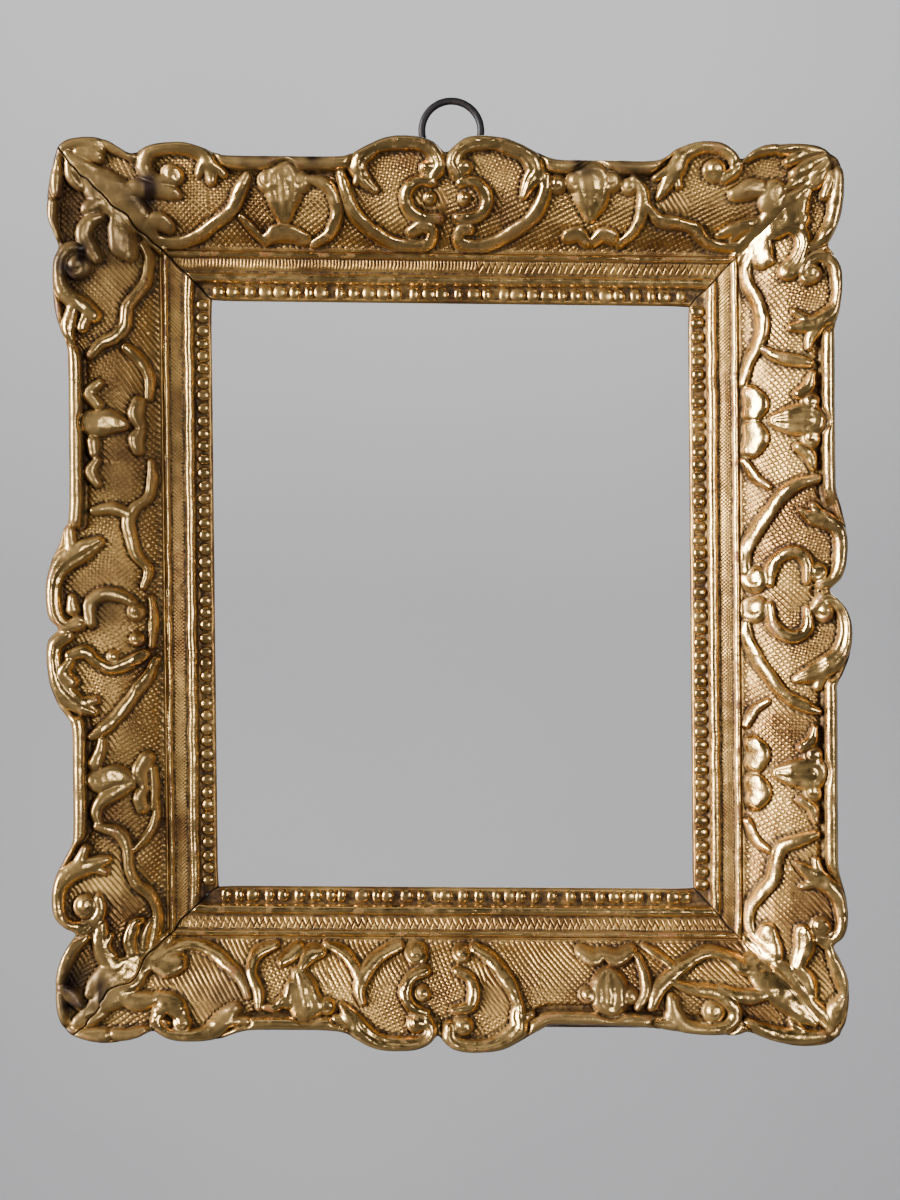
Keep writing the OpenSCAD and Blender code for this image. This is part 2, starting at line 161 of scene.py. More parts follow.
STROKES = {
    "top": [
        (3, [(-121, 50, 2.4), (-127.5, 49.5, 2.8), (-132.5, 53.5, 2.8), (-132, 59.5, 2.8),
             (-129.5, 62, 2.8), (-124.5, 63.3, 2.8), (-115, 63.5, 2.8), (-107.5, 61, 3.2), (-104, 55.5, 3.4),
             (-103.5, 49.5, 2.2)]),
        (3.2, [(-121, 51.5, 4)]),
        (2.4, [(-106, 58, 2.6), (-109, 52.5, 1.6)]),
        (2.4, [(-104, 57, 2.4), (-98.5, 52.5, 1.8)]),
        (2.4, [(-139, 44, 2.6), (-131, 45.4, 3), (-123, 45, 1.8)]),
        (3, [(-123, 30.5, 2.6), (-127, 32.5, 3.6), (-131.5, 31, 3.4), (-132, 26, 3), (-125, 24.2, 2.4),
             (-117, 24.6, 2.4), (-109, 28, 2.4), (-101, 33.5, 2.4), (-94.5, 38.5, 2.6), (-91, 46, 2.8),
             (-88, 52, 1.8)]),
        (2, [(-91.5, 35, 1.3), (-86, 29.5, 1.8), (-81, 24.5, 1.4)]),
        (2.6, [(-79.5, 50, 4)]),
        (2.8, [(-72.5, 51, 4.2)]),
        (2.6, [(-65.5, 50, 4)]),
        (2.8, [(-72.5, 50, 6.8), (-72.5, 43, 5.4), (-72.5, 36, 3)]),
        (2.6, [(-80.5, 26.3, 2.4), (-76, 28.3, 3.2), (-70, 28.3, 3.2), (-63.5, 26.3, 2.4)]),
        (2.6, [(-62, 51, 1.6), (-54.5, 49, 2.6), (-50.5, 43, 2.6), (-49.8, 36, 2.4), (-53, 28.8, 2.4),
             (-60, 24.3, 1.8)]),
        (3, [(-47.5, 53, 1.8), (-45.3, 45.5, 2.8), (-42, 37.5, 2.8), (-35, 30.5, 2.6), (-26, 25.5, 2.6),
             (-18, 24.2, 2.4), (-9.5, 25, 2.4), (-7.8, 30, 2.4), (-12, 32, 2.4), (-17, 29.5, 2.2)]),
        (3.2, [(-33, 46.5, 1.4), (-37.5, 51, 2.6), (-40, 56.5, 3.2), (-37, 62, 3.2), (-30.5, 66, 3),
             (-21, 67.3, 2.8), (-12.5, 66.5, 2.8), (-7, 62.5, 2.8), (-5, 57, 2.8), (-8, 53, 2.4)]),
        (3.2, [(-10, 56, 3)]),
        (2.4, [(-39, 55, 2.4), (-41, 49.5, 1.4)]),
        (2.8, [(-7.5, 50, 1.8), (-14.5, 50.5, 2.4), (-19, 45.5, 2.6), (-18, 39, 2.6), (-12.5, 35.5, 2.4),
             (-5, 35, 2)]),
        (2.6, [(-9, 43.5, 2.6)]),
        (3.2, [(32, 45, 1.4), (34.5, 50.5, 2.8), (37.5, 55.5, 3.2), (35, 61, 3.2), (29, 64.8, 3),
             (20, 67.3, 2.8), (11, 67.3, 2.8), (4, 64, 2.8), (1, 58.5, 2.8), (3.5, 53.5, 2.4)]),
        (3.2, [(6, 56.5, 3)]),
        (2.4, [(38, 54, 2.4), (41, 49, 1.6)]),
        (2.8, [(4.5, 50, 1.8), (11, 50.5, 2.4), (15.5, 45.5, 2.6), (15, 39, 2.6), (9.5, 35.5, 2.4),
               (3, 35, 2)]),
        (2.6, [(6, 43.5, 2.6)]),
        (3, [(42, 53, 1.8), (40.8, 45.5, 2.8), (37, 37.5, 2.8), (29, 31, 2.6), (20, 26, 2.6),
             (12, 24.2, 2.4), (4.5, 25.5, 2.4), (3.8, 30, 2.2), (8.5, 31, 2)]),
        (2.6, [(46.5, 50, 3.6)]),
        (2.6, [(54.5, 51, 3.8)]),
        (2.6, [(70, 51.5, 4)]),
        (2.6, [(78, 49.5, 3.4)]),
        (2.8, [(62, 51, 7), (62, 44, 5.4), (61.5, 37, 2.4)]),
        (2.6, [(52, 28.5, 2.6), (56.5, 29.5, 2.8), (60, 26.5, 2.2)]),
        (2.6, [(72, 28.5, 2.6), (67, 29.5, 2.8), (63, 26.5, 2.2)]),
        (2.6, [(80, 52.5, 1.6), (84, 47.5, 2.4), (84.3, 40.5, 2.6), (81.5, 32, 2.4), (75, 26, 1.8)]),
        (3, [(119.5, 53, 2.2), (124.5, 57, 2.6), (123.5, 63, 2.8), (118, 66.6, 2.8), (109, 66.8, 2.8),
             (101.5, 62.5, 3), (97.5, 56, 3.6), (93.5, 49, 2.6), (91, 45, 1.4)]),
        (3.2, [(115.5, 56.5, 3.8)]),
        (2.4, [(98, 57, 2.6), (99.5, 50, 1.8)]),
        (2.4, [(97, 57.5, 2.4), (89.5, 53, 1.6)]),
        (2.8, [(86, 41.5, 1.6), (91.5, 35.8, 2.4), (100, 34.5, 2.4), (107.5, 32, 2.4), (112.5, 27.3, 2.2),
             (120, 25, 2.2), (130, 25.5, 2.2), (135, 30, 2.2), (131, 33.5, 2)]),
        (2.8, [(124.5, 28.5, 1.6), (128.5, 32.5, 3.2), (133, 33.5, 2)]),
        (2.6, [(126, 46.5, 2.2), (130.5, 49.8, 3.4), (136, 51, 2)]),
    ],
    "right": [
        (3, [(-143.5, 47, 2), (-148.5, 50.5, 2.6), (-150, 56.5, 2.8), (-145.5, 61.8, 2.8),
             (-137.5, 63, 2.8), (-129, 62.3, 3), (-123, 57.5, 3.4), (-120.3, 50, 3.2), (-119, 42.5, 1.6)]),
        (3.2, [(-142.5, 51, 4)]),
        (2.4, [(-121.5, 55.5, 2.8), (-114.5, 51, 2), (-110, 50, 1.2)]),
        (2.2, [(-122, 50, 2.2), (-126, 44, 1.4)]),
        (2.8, [(-148.5, 34, 1.8), (-153.5, 31.5, 2.4), (-152, 26.5, 2.4), (-146, 24.3, 2.2),
             (-139, 25.2, 2.2), (-131, 29, 2.4), (-121, 31, 2.4), (-112, 29, 2.4), (-104, 25.3, 2.2),
             (-95, 23.3, 1.6)]),
        (2.8, [(-110, 31, 1.6), (-106.5, 36.5, 2.4), (-105, 43, 2.6), (-103.5, 50.5, 1.8)]),
        (2.8, [(-78.5, 50, 6.2), (-78.5, 43, 4.8), (-78.5, 36, 2.2)]),
        (2.6, [(-86.5, 50.5, 3.6)]),
        (2.6, [(-70.5, 50.5, 3.6)]),
        (2.6, [(-99, 51.5, 1.4), (-93.5, 50, 2.4), (-90, 45.5, 2)]),
        (2.6, [(-58, 51.5, 1.4), (-63.5, 50, 2.4), (-67, 45.5, 2)]),
        (3, [(-91, 26, 3), (-86.5, 28, 4), (-81.5, 26.5, 3.2)]),
        (3, [(-66, 26, 3), (-71, 28, 4), (-76, 26.5, 3.2)]),
        (2.8, [(-53, 53, 1.8), (-50.5, 45, 2.6), (-46, 38.5, 2.6), (-38, 33, 2.6), (-29.5, 27.5, 2.6),
             (-21, 23.7, 2.4), (-12, 23.5, 1.8)]),
        (3.4, [(-8.5, 27, 4.4)]),
        (3.4, [(5, 27, 4.4)]),
        (3, [(-39, 46, 1.4), (-36, 51, 2.8), (-35, 56.5, 3.2), (-31, 61.8, 3), (-24, 63.6, 2.8),
             (-15, 62.8, 2.8), (-8.5, 59.5, 2.6), (-6.5, 54.5, 2.4)]),
        (3.2, [(-12, 53, 3.6)]),
        (2.2, [(-35, 55, 2.4), (-41.5, 51.5, 1.6)]),
        (2.8, [(-8, 48.5, 1.6), (-16, 48.8, 2.4), (-20.5, 44.5, 2.6), (-19.5, 38.5, 2.6), (-14.5, 34, 2.4),
             (-7, 33, 1.8)]),
        (2.8, [(4, 48.5, 1.6), (12, 48.8, 2.4), (16.5, 44.5, 2.6), (15.5, 38.5, 2.6), (10.5, 34, 2.4),
             (3, 33, 1.8)]),
        (3.2, [(3.5, 52, 2.2), (-1, 55.5, 2.6), (-1, 60.5, 2.8), (5, 64.3, 2.8), (14, 65.5, 2.8),
             (22.5, 63.3, 3), (28.5, 57.5, 3.4), (32.5, 50.5, 3), (35, 44, 1.6)]),
        (3.2, [(5, 55.5, 3.6)]),
        (2.2, [(30, 56, 2.6), (38, 53, 1.8)]),
        (2.8, [(49, 53, 1.6), (46, 45.5, 2.6), (41.5, 38.5, 2.6), (34, 32.5, 2.6), (25.5, 27.5, 2.6),
             (17, 24, 2.4), (11, 23.5, 1.6)]),
        (2, [(-49.5, 33, 1.4), (-54, 27.5, 2), (-61, 23.5, 1.6)]),
        (2, [(45, 32, 1.4), (49, 27, 2), (56, 23.5, 1.6)]),
        (2, [(111, 32, 1.4), (107, 27, 2), (99, 23.5, 1.6)]),
        (2.8, [(76.5, 50, 6.2), (76.5, 43, 4.8), (76.5, 36, 2.2)]),
        (2.6, [(68.5, 50.5, 3.6)]),
        (2.6, [(84.5, 50.5, 3.6)]),
        (2.6, [(56, 51.5, 1.4), (61.5, 50, 2.4), (65, 45.5, 2)]),
        (2.6, [(97, 51.5, 1.4), (91.5, 50, 2.4), (88, 45.5, 2)]),
        (3, [(64, 26, 3), (68.5, 28, 4), (73.5, 26.5, 3.2)]),
        (3, [(90, 26, 3), (85.5, 28, 4), (80.5, 26.5, 3.2)]),
        (2.8, [(103, 51.5, 1.8), (106, 44, 2.6), (109, 37.5, 2.6), (116, 34.8, 2.4), (124, 33.3, 2.4),
             (130.5, 28.5, 2.4), (138, 24.3, 2.2), (148, 24.5, 2.2), (152.5, 29.5, 2.2), (149, 33, 1.8)]),
        (3, [(149.5, 52.5, 1.8), (151, 57, 2.4), (146.5, 61.8, 2.8), (138, 62.7, 2.8), (129.5, 60.5, 3),
             (124, 54.5, 3.4), (119, 47.5, 2.8), (116, 43, 1.4)]),
        (3.2, [(143.5, 53, 3.8)]),
        (2.2, [(123, 53, 2.4), (114.5, 51.5, 1.6)]),
        (2.2, [(124, 52, 2.2), (126, 45.5, 1.4)]),
    ],
    "bottom": [
        (3, [(-94.5, 38.5, 1.6), (-103, 41.5, 2.4), (-112, 42.5, 2.6), (-119.5, 47, 2.8),
             (-121.5, 53, 2.8), (-117, 58, 2.8), (-108, 59, 2.8), (-100, 57.5, 3), (-95, 52, 3),
             (-93.5, 45, 2)]),
        (3.2, [(-112, 51.5, 3.8)]),
        (2.2, [(-94.5, 57, 2.6), (-86, 56, 1.8)]),
        (2.2, [(-93, 53, 2.4), (-95.5, 46, 1.6)]),
        (2.8, [(-133, 31, 2.6), (-127, 32.5, 3.2), (-121, 28.5, 2.6), (-112, 26.6, 2.6), (-103, 30, 2.6),
             (-95, 35.5, 2.8), (-88.5, 41.5, 3), (-85, 49, 2.2)]),
        (2, [(-96, 33, 1.4), (-89, 28, 2), (-83, 24.5, 1.4)]),
        (3, [(-66.5, 46.5, 6.4), (-66.5, 41, 6), (-66.5, 36, 3)]),
        (2.6, [(-75.5, 44.5, 3.4)]),
        (2.6, [(-57, 44.5, 3.4)]),
        (3, [(-77, 26.5, 2.6), (-71, 29, 3.4), (-66, 27.5, 2.6)]),
        (2.8, [(-55, 26.5, 2.4), (-60.5, 29, 3), (-64, 27.5, 2.4)]),
        (2.6, [(-79, 49.5, 1.6), (-82.5, 43, 2.2), (-82.5, 36, 2.2), (-80, 29, 1.8)]),
        (2.8, [(-27, 50.5, 1.8), (-24.5, 43, 2.8), (-20.5, 36, 2.8), (-14.5, 29.5, 2.6), (-8, 25.5, 2.2)]),
        (3, [(-2, 27.3, 3.6)]),
        (3, [(18, 27.3, 4)]),
        (3.2, [(-27, 47.5, 1.4), (-26.5, 53, 2.8), (-26.5, 58.3, 3.2), (-21, 63.5, 3.2), (-13, 66.4, 3),
             (-3, 66.5, 2.8), (3.5, 63.5, 2.6), (4, 58, 2.2)]),
        (3.2, [(-2, 57.5, 3.6)]),
        (2.2, [(-26, 56, 2.6), (-32, 52.5, 1.6)]),
        (2.8, [(2, 51, 1.8), (-5, 49.5, 2.4), (-7, 43.5, 2.6), (-5.5, 38, 2.4), (0, 34.5, 2)]),
        (2.8, [(14, 52, 1.8), (20.5, 49.5, 2.4), (23, 43.5, 2.6), (20.5, 37.5, 2.4), (14, 34.5, 2)]),
        (2.4, [(15.5, 44, 3.2)]),
        (3.2, [(14, 55, 2.4), (12.3, 60.5, 2.6), (17, 65.3, 2.8), (26, 66, 2.8), (35, 65, 3),
             (42.5, 60.5, 3.4), (47, 54.5, 3.2), (50.5, 49.5, 1.6)]),
        (3.2, [(18, 56.5, 3.6)]),
        (2.2, [(46, 56, 2.6), (53.5, 55, 1.8)]),
        (2.8, [(42, 48, 1.6), (43, 41.5, 2.6), (39.5, 34, 2.6), (33, 28, 2.6), (25.5, 24.5, 2)]),
        (2.8, [(42, 40, 2), (45.5, 32.5, 2.4), (51, 27, 2.4), (58, 24.2, 1.6)]),
        (3, [(66, 49, 6.2), (67.5, 43, 5.2), (70, 36, 2.6)]),
        (2.6, [(57.5, 49.5, 3.6)]),
        (2.6, [(74.5, 47.5, 3.2), (73, 40, 2)]),
        (2.6, [(84.5, 50, 1.4), (79.5, 50, 2.2), (77, 46.5, 1.8)]),
        (3, [(60, 26.8, 2.4), (65, 28, 3), (68, 33, 1.8)]),
        (3, [(77, 31, 2.2), (73, 28, 3), (70, 25.5, 2.2)]),
        (2.6, [(87, 50, 1.8), (87.5, 43, 2.4), (90.5, 35, 2.4), (88, 28, 2.4), (80, 24.5, 1.8)]),
        (2.8, [(92, 45.5, 1.6), (95, 38, 2.4), (101.5, 32, 2.6), (108, 27, 2.6), (117, 24.3, 2.4),
             (127, 26.5, 2.4), (133, 32, 2.6), (128, 36, 2.2)]),
        (3, [(131, 52, 2.4), (127.5, 49.5, 2.4), (121.5, 50.5, 2.2)]),
        (3, [(127.5, 50, 2.2), (131.5, 56, 2.6), (127, 61.5, 2.8), (117.5, 62.7, 2.8), (108.5, 61, 3.2),
             (102.5, 55.5, 3.6), (97.5, 50.5, 2.6)]),
        (3.2, [(120.5, 56.5, 3.6)]),
        (2.2, [(101, 56, 2.6), (92.5, 56, 1.8)]),
    ],
    "left": [
        (3, [(-133, 50, 2), (-139, 49.5, 2.6), (-144.5, 53, 2.8), (-146, 60, 2.8), (-142.5, 66, 2.8),
             (-135, 67.8, 2.8), (-126.5, 66.5, 3.2), (-121, 60.5, 3.6), (-118, 53, 3.4), (-116, 46, 1.8)]),
        (3.2, [(-136.5, 55.5, 4.2)]),
        (2.2, [(-120, 59, 2.8), (-111, 55.5, 2)]),
        (2.2, [(-119, 55, 2.2), (-121.5, 47, 1.4)]),
        (2.6, [(-158, 44, 1.6), (-154.5, 47, 2), (-149, 45, 1.4)]),
        (2.8, [(-158.5, 35.5, 2.6), (-152, 37.3, 3), (-146.5, 35, 2.2)]),
        (2.8, [(-163, 33, 2), (-157, 28.5, 2.4), (-149, 26.3, 2.4), (-140, 26, 2.2), (-132.5, 29, 2.2),
             (-127, 34.5, 2.2), (-120, 37.3, 2.2), (-111, 37.8, 2.4), (-104.5, 41.5, 2.6),
             (-101.5, 50.5, 1.8)]),
        (2.4, [(-112, 35, 1.4), (-107, 30, 2), (-100.5, 26.3, 2), (-92, 25.8, 1.4)]),
        (2.6, [(-101, 49.5, 1.6), (-96, 51, 2.6), (-91, 49, 2.8), (-86.5, 42, 3.4), (-84, 36, 2)]),
        (2.8, [(-82, 50, 4), (-80, 43, 4.2), (-82, 36, 2)]),
        (2.4, [(-74, 51, 3), (-69, 49, 2.4), (-64, 48, 1.6)]),
        (3, [(-94, 31.5, 2.6), (-89, 32.5, 2.8), (-85.5, 30.5, 2.2)]),
        (3, [(-83.5, 31, 2.2), (-78.5, 32, 3.2), (-72.5, 29.5, 2.8)]),
        (2.4, [(-94, 27, 1.6), (-86, 26.5, 2), (-77, 27, 1.6)]),
        (2.8, [(-62.5, 52.5, 1.8), (-58.5, 46.5, 2.6), (-51.5, 39.5, 2.6), (-43.5, 33.8, 2.6),
             (-36, 28.5, 2.4), (-29, 25.3, 1.8)]),
        (3.2, [(-51.5, 51, 1.6), (-49, 56.5, 3), (-45.5, 62, 3.4), (-39, 66.3, 3.2), (-30, 68.3, 3),
             (-22.5, 67.3, 2.8), (-18.5, 62.5, 2.6)]),
        (3, [(-29.5, 61, 2), (-34.5, 64, 2.6), (-38.5, 60.5, 2.4)]),
        (2.2, [(-48, 58, 2.6), (-46.5, 50.5, 2)]),
        (2.8, [(-27, 61, 2.4), (-25.5, 54.5, 2.6), (-29.5, 50, 2.6), (-32.5, 43.5, 2.8), (-30, 36.5, 2.8),
             (-26.5, 30, 2.4)]),
        (2.6, [(-27.5, 43, 2.8)]),
        (3, [(-20, 32.8, 3.2)]),
        (3, [(-8, 32.8, 3.6)]),
        (2, [(-23, 27, 1.6), (-12, 26.3, 2), (-2, 27, 1.4)]),
        (2.8, [(-13, 52, 2), (-5, 52.5, 2.4), (-0.5, 47, 2.6), (-1, 40, 2.6), (-3.5, 35, 2)]),
        (3.2, [(-13, 57, 2.4), (-14.5, 63, 2.6), (-10, 67.3, 2.8), (-1.5, 68.5, 2.8), (7, 67.3, 3),
             (14, 62.5, 3.4), (18.5, 55.5, 3.6), (22.5, 48.5, 2.2)]),
        (3, [(-7, 59.5, 2.6), (-2, 60, 1.8)]),
        (2.2, [(20, 60, 2.4), (28, 60.5, 2)]),
        (2.6, [(3, 30, 1.4), (10.5, 28, 2), (17, 32.5, 2.2), (25, 35, 2.4), (32, 36, 2.4), (37.5, 33, 2.2),
             (42, 28, 2.2), (50, 26, 2.2), (58, 26.3, 1.6)]),
        (2.6, [(35, 36, 2.2), (37, 43, 2.4), (36, 50.5, 1.8)]),
        (2.8, [(74, 50, 4.8), (74.5, 44, 4.6), (74, 37.5, 2.2)]),
        (2.6, [(58, 48.5, 1.8), (53, 51.5, 2.6), (47.5, 48.5, 1.8)]),
        (2.6, [(66, 50.5, 2.8), (61, 50, 2.2)]),
        (2.6, [(82, 48, 2.4), (87, 51.5, 2.6), (91.5, 47, 1.8)]),
        (3, [(62.5, 31.5, 2.2), (67.5, 32.3, 2.8), (71, 30.5, 2)]),
        (3, [(84, 31.5, 2.4), (78.5, 32.5, 3.2), (73.5, 30.5, 2.2)]),
        (2.4, [(86, 27, 1.6), (95, 26.8, 2.2), (102.5, 30.5, 2.4), (107.5, 36, 2)]),
        (2.8, [(103.5, 51, 1.8), (108.5, 46.5, 2.6), (111.5, 40.5, 2.6), (117, 36.5, 2.4), (125, 35.3, 2.2),
             (131, 31, 2.2), (138, 27.3, 2.2), (147, 26.3, 2.2), (153, 29, 1.8)]),
        (3.2, [(142, 56, 4.8)]),
        (3, [(149.5, 53.5, 2), (149.5, 59, 2.6), (144.5, 63.3, 2.8), (136, 63.7, 2.8), (129, 60.5, 3),
             (125, 54.5, 3.2), (120.5, 49.5, 2.8)]),
        (2.2, [(126, 57, 2.6), (116, 60, 2.6), (109, 59, 1.6)]),
        (2.2, [(122, 52, 2.4), (115, 54, 2)]),
    ],
}

CORNER_LEAVES = {
    (-1, 1): [
        (3.4, [(20.5, 21, 1.8), (27, 29, 3.4), (33.5, 37, 5.4), (40, 43.5, 6.2), (47, 49, 4.6), (54, 55, 3.2),
               (59.5, 60, 1.8)]),
        (2.8, [(33, 29.5, 2.2), (40.5, 37.5, 3.6), (47, 44.5, 4.2), (53, 51.5, 3), (58, 57, 1.6)]),
        (3, [(36, 43.5, 3.2), (29.5, 46, 3.8), (22, 46, 3.6), (15, 44.5, 3), (12, 43, 1.6)]),
        (3.3, [(38.5, 33.5, 2.6), (37.5, 28, 4.2), (36, 22.5, 5), (34, 18.5, 3)]),
        (2.8, [(45.5, 40, 2.4), (50, 37.5, 3.2), (52, 36, 2)]),
        (3, [(46, 33.5, 2), (51, 31, 3), (53, 25.5, 3.4), (50.5, 20, 3.2), (47.5, 15.5, 2.2)]),
        (2.6, [(59, 56, 1.8), (57.5, 50.5, 2.8), (54, 46.5, 2.2)]),
        (2.4, [(64, 57, 1.6), (64.5, 50, 2.6), (64.5, 43, 1.8)]),
        (2.6, [(66.5, 39, 2), (67, 31.5, 2.6), (65.5, 23.5, 2.4)]),
        (3, [(65.5, 59, 2.4), (62.5, 64, 3.6), (56, 66, 4), (49, 65.5, 3.2), (45.5, 62.5, 2)]),
        (2.6, [(55, 60.5, 2.4), (50, 60.5, 3.2), (46, 58.5, 2)]),
        (2.4, [(44, 65, 1.8), (38, 63, 2.6), (31.5, 59.5, 2.2)]),
    ],
    (1, 1): [
        (3.6, [(18.5, 17.5, 2.4), (25, 25.5, 3.6), (31.5, 31.5, 4.4), (39, 37, 6.4), (44.5, 41.5, 5.2),
               (48.5, 47, 2.8), (50.5, 50.5, 1.4)]),
        (3.2, [(39, 34.5, 3.6), (44, 34.5, 4.2), (47.5, 36.5, 3)]),
        (3.2, [(40, 33.5, 2.4), (46, 31, 2.8), (48, 26, 2.8), (46.5, 20, 2.8), (43, 15, 3.4), (41, 13.5, 3)]),
        (3.3, [(30.5, 30, 3), (30.5, 25, 4), (31, 20.5, 3.6), (31, 18.5, 2.6)]),
        (2.9, [(36.5, 39.5, 3.2), (34.5, 43.5, 5), (35.5, 48, 4.2)]),
        (2.7, [(30, 48.5, 2.8), (24.5, 48.5, 3.6), (18, 46.5, 2.6)]),
        (2.6, [(28.5, 35, 2), (24.5, 33.5, 3.2), (17.5, 31.5, 2.6), (12, 29.5, 1.4)]),
        (3.2, [(58.5, 60.5, 1.4), (56, 57, 2.8), (53, 52.5, 3.2), (51.5, 50, 1.6)]),
        (2.8, [(60, 56, 1.4), (59, 51, 2.4), (57, 46, 2)]),
        (2.4, [(57.5, 62.5, 1.8), (51, 59.5, 2.8), (45, 55, 2.6)]),
        (2.2, [(49, 53, 1.6), (44.5, 51.5, 2), (41, 49.5, 1.2)]),
        (2.4, [(54, 65, 2), (47.5, 64, 2.8), (41, 60.5, 1.8)]),
        (2.7, [(22.5, 62, 2), (27, 65.5, 2.8), (34.5, 66.5, 2.8)]),
        (2.7, [(38, 65.5, 2.4), (46, 67, 2.8), (57, 66.5, 2.8)]),
        (2.8, [(51, 23.5, 2), (56.5, 27.5, 3), (60.5, 35, 3), (62.5, 45, 3), (63.5, 56, 2.8)]),
    ],
    (-1, -1): [
        (3.5, [(20.5, 20.5, 2), (27.5, 28, 3.2), (34, 34, 4.6), (40.5, 40.5, 5.8), (47, 46, 5),
               (53.5, 51, 2.6), (60, 55.5, 1.4)]),
        (3, [(38, 31.5, 2.6), (43.5, 34.5, 4), (49, 40, 4.8), (54, 44.5, 2.2)]),
        (3.2, [(27, 31, 3), (21.5, 32, 4.6), (17.5, 31.5, 3.8)]),
        (3.1, [(49, 14.5, 2.6), (49.5, 21, 3.6), (48, 27.5, 3.8), (43.5, 33, 3)]),
        (2.9, [(36.5, 27, 2.4), (38, 20.5, 2.2), (35.5, 14.5, 2), (32.5, 13.5, 1.6)]),
        (2.6, [(31, 25.5, 2.8), (30.5, 19.5, 2.6), (28.5, 14, 1.8)]),
        (3, [(40, 45.5, 3.2), (34, 47.5, 3.8), (27.5, 47, 2.6)]),
        (2.6, [(24.5, 46, 2.4), (19, 49, 4.2), (14.5, 54, 2.8)]),
        (2.8, [(55.5, 20, 1.8), (62, 25, 3), (66, 32, 3.2), (67.5, 38.5, 2.6)]),
        (2.6, [(66.5, 41.5, 2.2), (62, 45.5, 3), (58.5, 49.5, 2.2)]),
        (2.6, [(67.5, 45, 1.8), (67, 53, 2.6), (66.5, 60, 2)]),
        (2.8, [(60, 57.5, 2.2), (54.5, 54.5, 3.8), (49.5, 52.5, 2.6)]),
        (2.8, [(65, 61, 2.2), (57, 62.5, 3.2), (48, 62, 3)]),
        (2.5, [(44, 61.5, 2.2), (37, 62.5, 2.8), (30.5, 60.5, 2.2)]),
    ],
    (1, -1): [
        (3.4, [(22, 21.5, 2.2), (29, 28.5, 3.6), (36, 33, 3.8), (42, 39, 3.2), (48, 46.5, 3), (53.5, 53, 2.6),
               (57.5, 58, 1.4)]),
        (2.8, [(25, 34.5, 3), (31, 38.5, 5.2), (37.5, 44.5, 5.6), (44, 50.5, 4), (50, 55, 1.8)]),
        (3.4, [(31, 16.5, 3.2), (31, 21, 4.6), (32.5, 27, 4.2)]),
        (2.4, [(26.5, 25.5, 1.8), (23.5, 30, 3.2), (21.5, 34.5, 1.8)]),
        (3.3, [(46, 16, 3), (46.5, 21.5, 3.6), (44.5, 27.5, 3), (43, 32, 2.4)]),
        (3, [(43, 31.5, 2.4), (47.5, 37, 3.2), (49.5, 43.5, 2)]),
        (2.6, [(9, 41.5, 2), (17, 44, 2.8), (25, 44.5, 3), (32, 43, 2.2)]),
        (2.9, [(57, 22.5, 1.8), (60, 30, 2.8), (62.5, 37.5, 2.8), (63, 42.5, 1.8)]),
        (3.1, [(63, 43.5, 1.6), (60, 49, 3.4), (58, 54, 2.8), (57, 58.5, 1.4)]),
        (2.4, [(38.5, 48, 1.4), (43, 51.5, 2.2), (48.5, 53.5, 1.6)]),
        (2.2, [(39.5, 54.5, 1.2), (42, 57, 1.9), (45.5, 59, 1.2)]),
        (2.8, [(21, 55.5, 2), (28, 59, 3), (36, 61, 3.2), (46, 61.5, 3), (54, 61, 2.2)]),
    ],
}

# Heights of the carved ground at each t
GROUND = ((-2, 21.0), (21.5, 21.0), (22.6, 20.8), (24.5, 21.9), (28, 25.2), (34, 29.6), (41, 32.9),
          (48, 34.8), (54, 35.4), (60, 36.0), (68, 36.8), (80, 37.0))
# Heights of the moulding inside the carving at each t
MOULDING = ((0, 15.0), (0.4, 15.9), (1.0, 16.4), (1.6, 16.2), (4.2, 16.1), (6.4, 16.2), (7.0, 16.5),
            (7.5, 16.9), (8.0, 18.3), (8.8, 19.4), (9.9, 19.9), (11.0, 19.7), (11.9, 18.9), (12.4, 18.0),
            (12.8, 18.3), (15.4, 19.6), (17.8, 20.2), (18.2, 19.8), (18.7, 20.9), (19.4, 21.8), (20.1, 22.0),
            (20.8, 21.7), (21.2, 20.9), (21.5, 20.6))
# Where the ground is cut one way only: x, z and reach
CUT_ONE_WAY = ((-112, -165, 24), (16, -172, 13), (-150, -128, 17), (-142, 160, 11), (-8, 172, 8),
               (96, 170, 9))
# Where the gilding is darkened in spots: x, z, reach and strength
DARK_SPOTS = ((-163, 146, 17, 0.85), (-135, 176, 15, 0.8), (-150, 162, 36, 0.6), (-164, -173, 16, 0.85),
        (-150, -186, 14, 0.4), (-85, 189, 12, 0.7), (-62, 189, 12, 0.75), (58, 189, 11, 0.7),
        (78, 189, 12, 0.65), (60, -170, 34, 0.3), (-150, 60, 46, 0.4), (132, 178, 10, 0.55),
        (-100, -176, 12, 0.5), (28, 164, 12, 0.4), (-154, -5, 16, 0.5), (98, -186, 14, 0.5),
        (170, 192, 9, 0.8), (167, -194, 9, 0.7), (-152, -90, 40, 0.3))
# How open the crack along each mitre is, near the sight and further out, by side and end
CRACKS = {(-1, 1): (1.0, 0.9), (1, 1): (0.7, 0.0), (-1, -1): (1.0, 0.7), (1, -1): (0.8, 0.0)}
# Strokes at least this wide from middle to edge are leaves, the wider ones fluted; the highest are scrolls
LEAF_WIDE = 3.9
FLUTED_WIDE = 5.6
SCROLL_RISE = 3.2
# The ground's crossed cuts: how far apart each way, their angles, the length of one patch and their depth
CUT_GAPS = (1.95, 1.85)
CUT_TURN = 35
CUT_CROSS = 1.5
CUT_PATCH = 33
CUT_DEEP = 1.0
# The plain bar along the outer edge: half its width and its height, and the rounding above that
BAR_HALF = 3.0
BAR_HIGH = 36.8
BAR_ROUND = 3.2
# Where the outer edge reaches further out than this, a crest takes the bar's place
CREST_STARTS = 61.7
CREST_FULL = 63.6
# How far the outer edge rounds over, and how deep a crack cuts in
EDGE_ROUND = 2.6
CRACK_DEEP = 1.1
MOULDING_CRACK_DEEP = 0.8
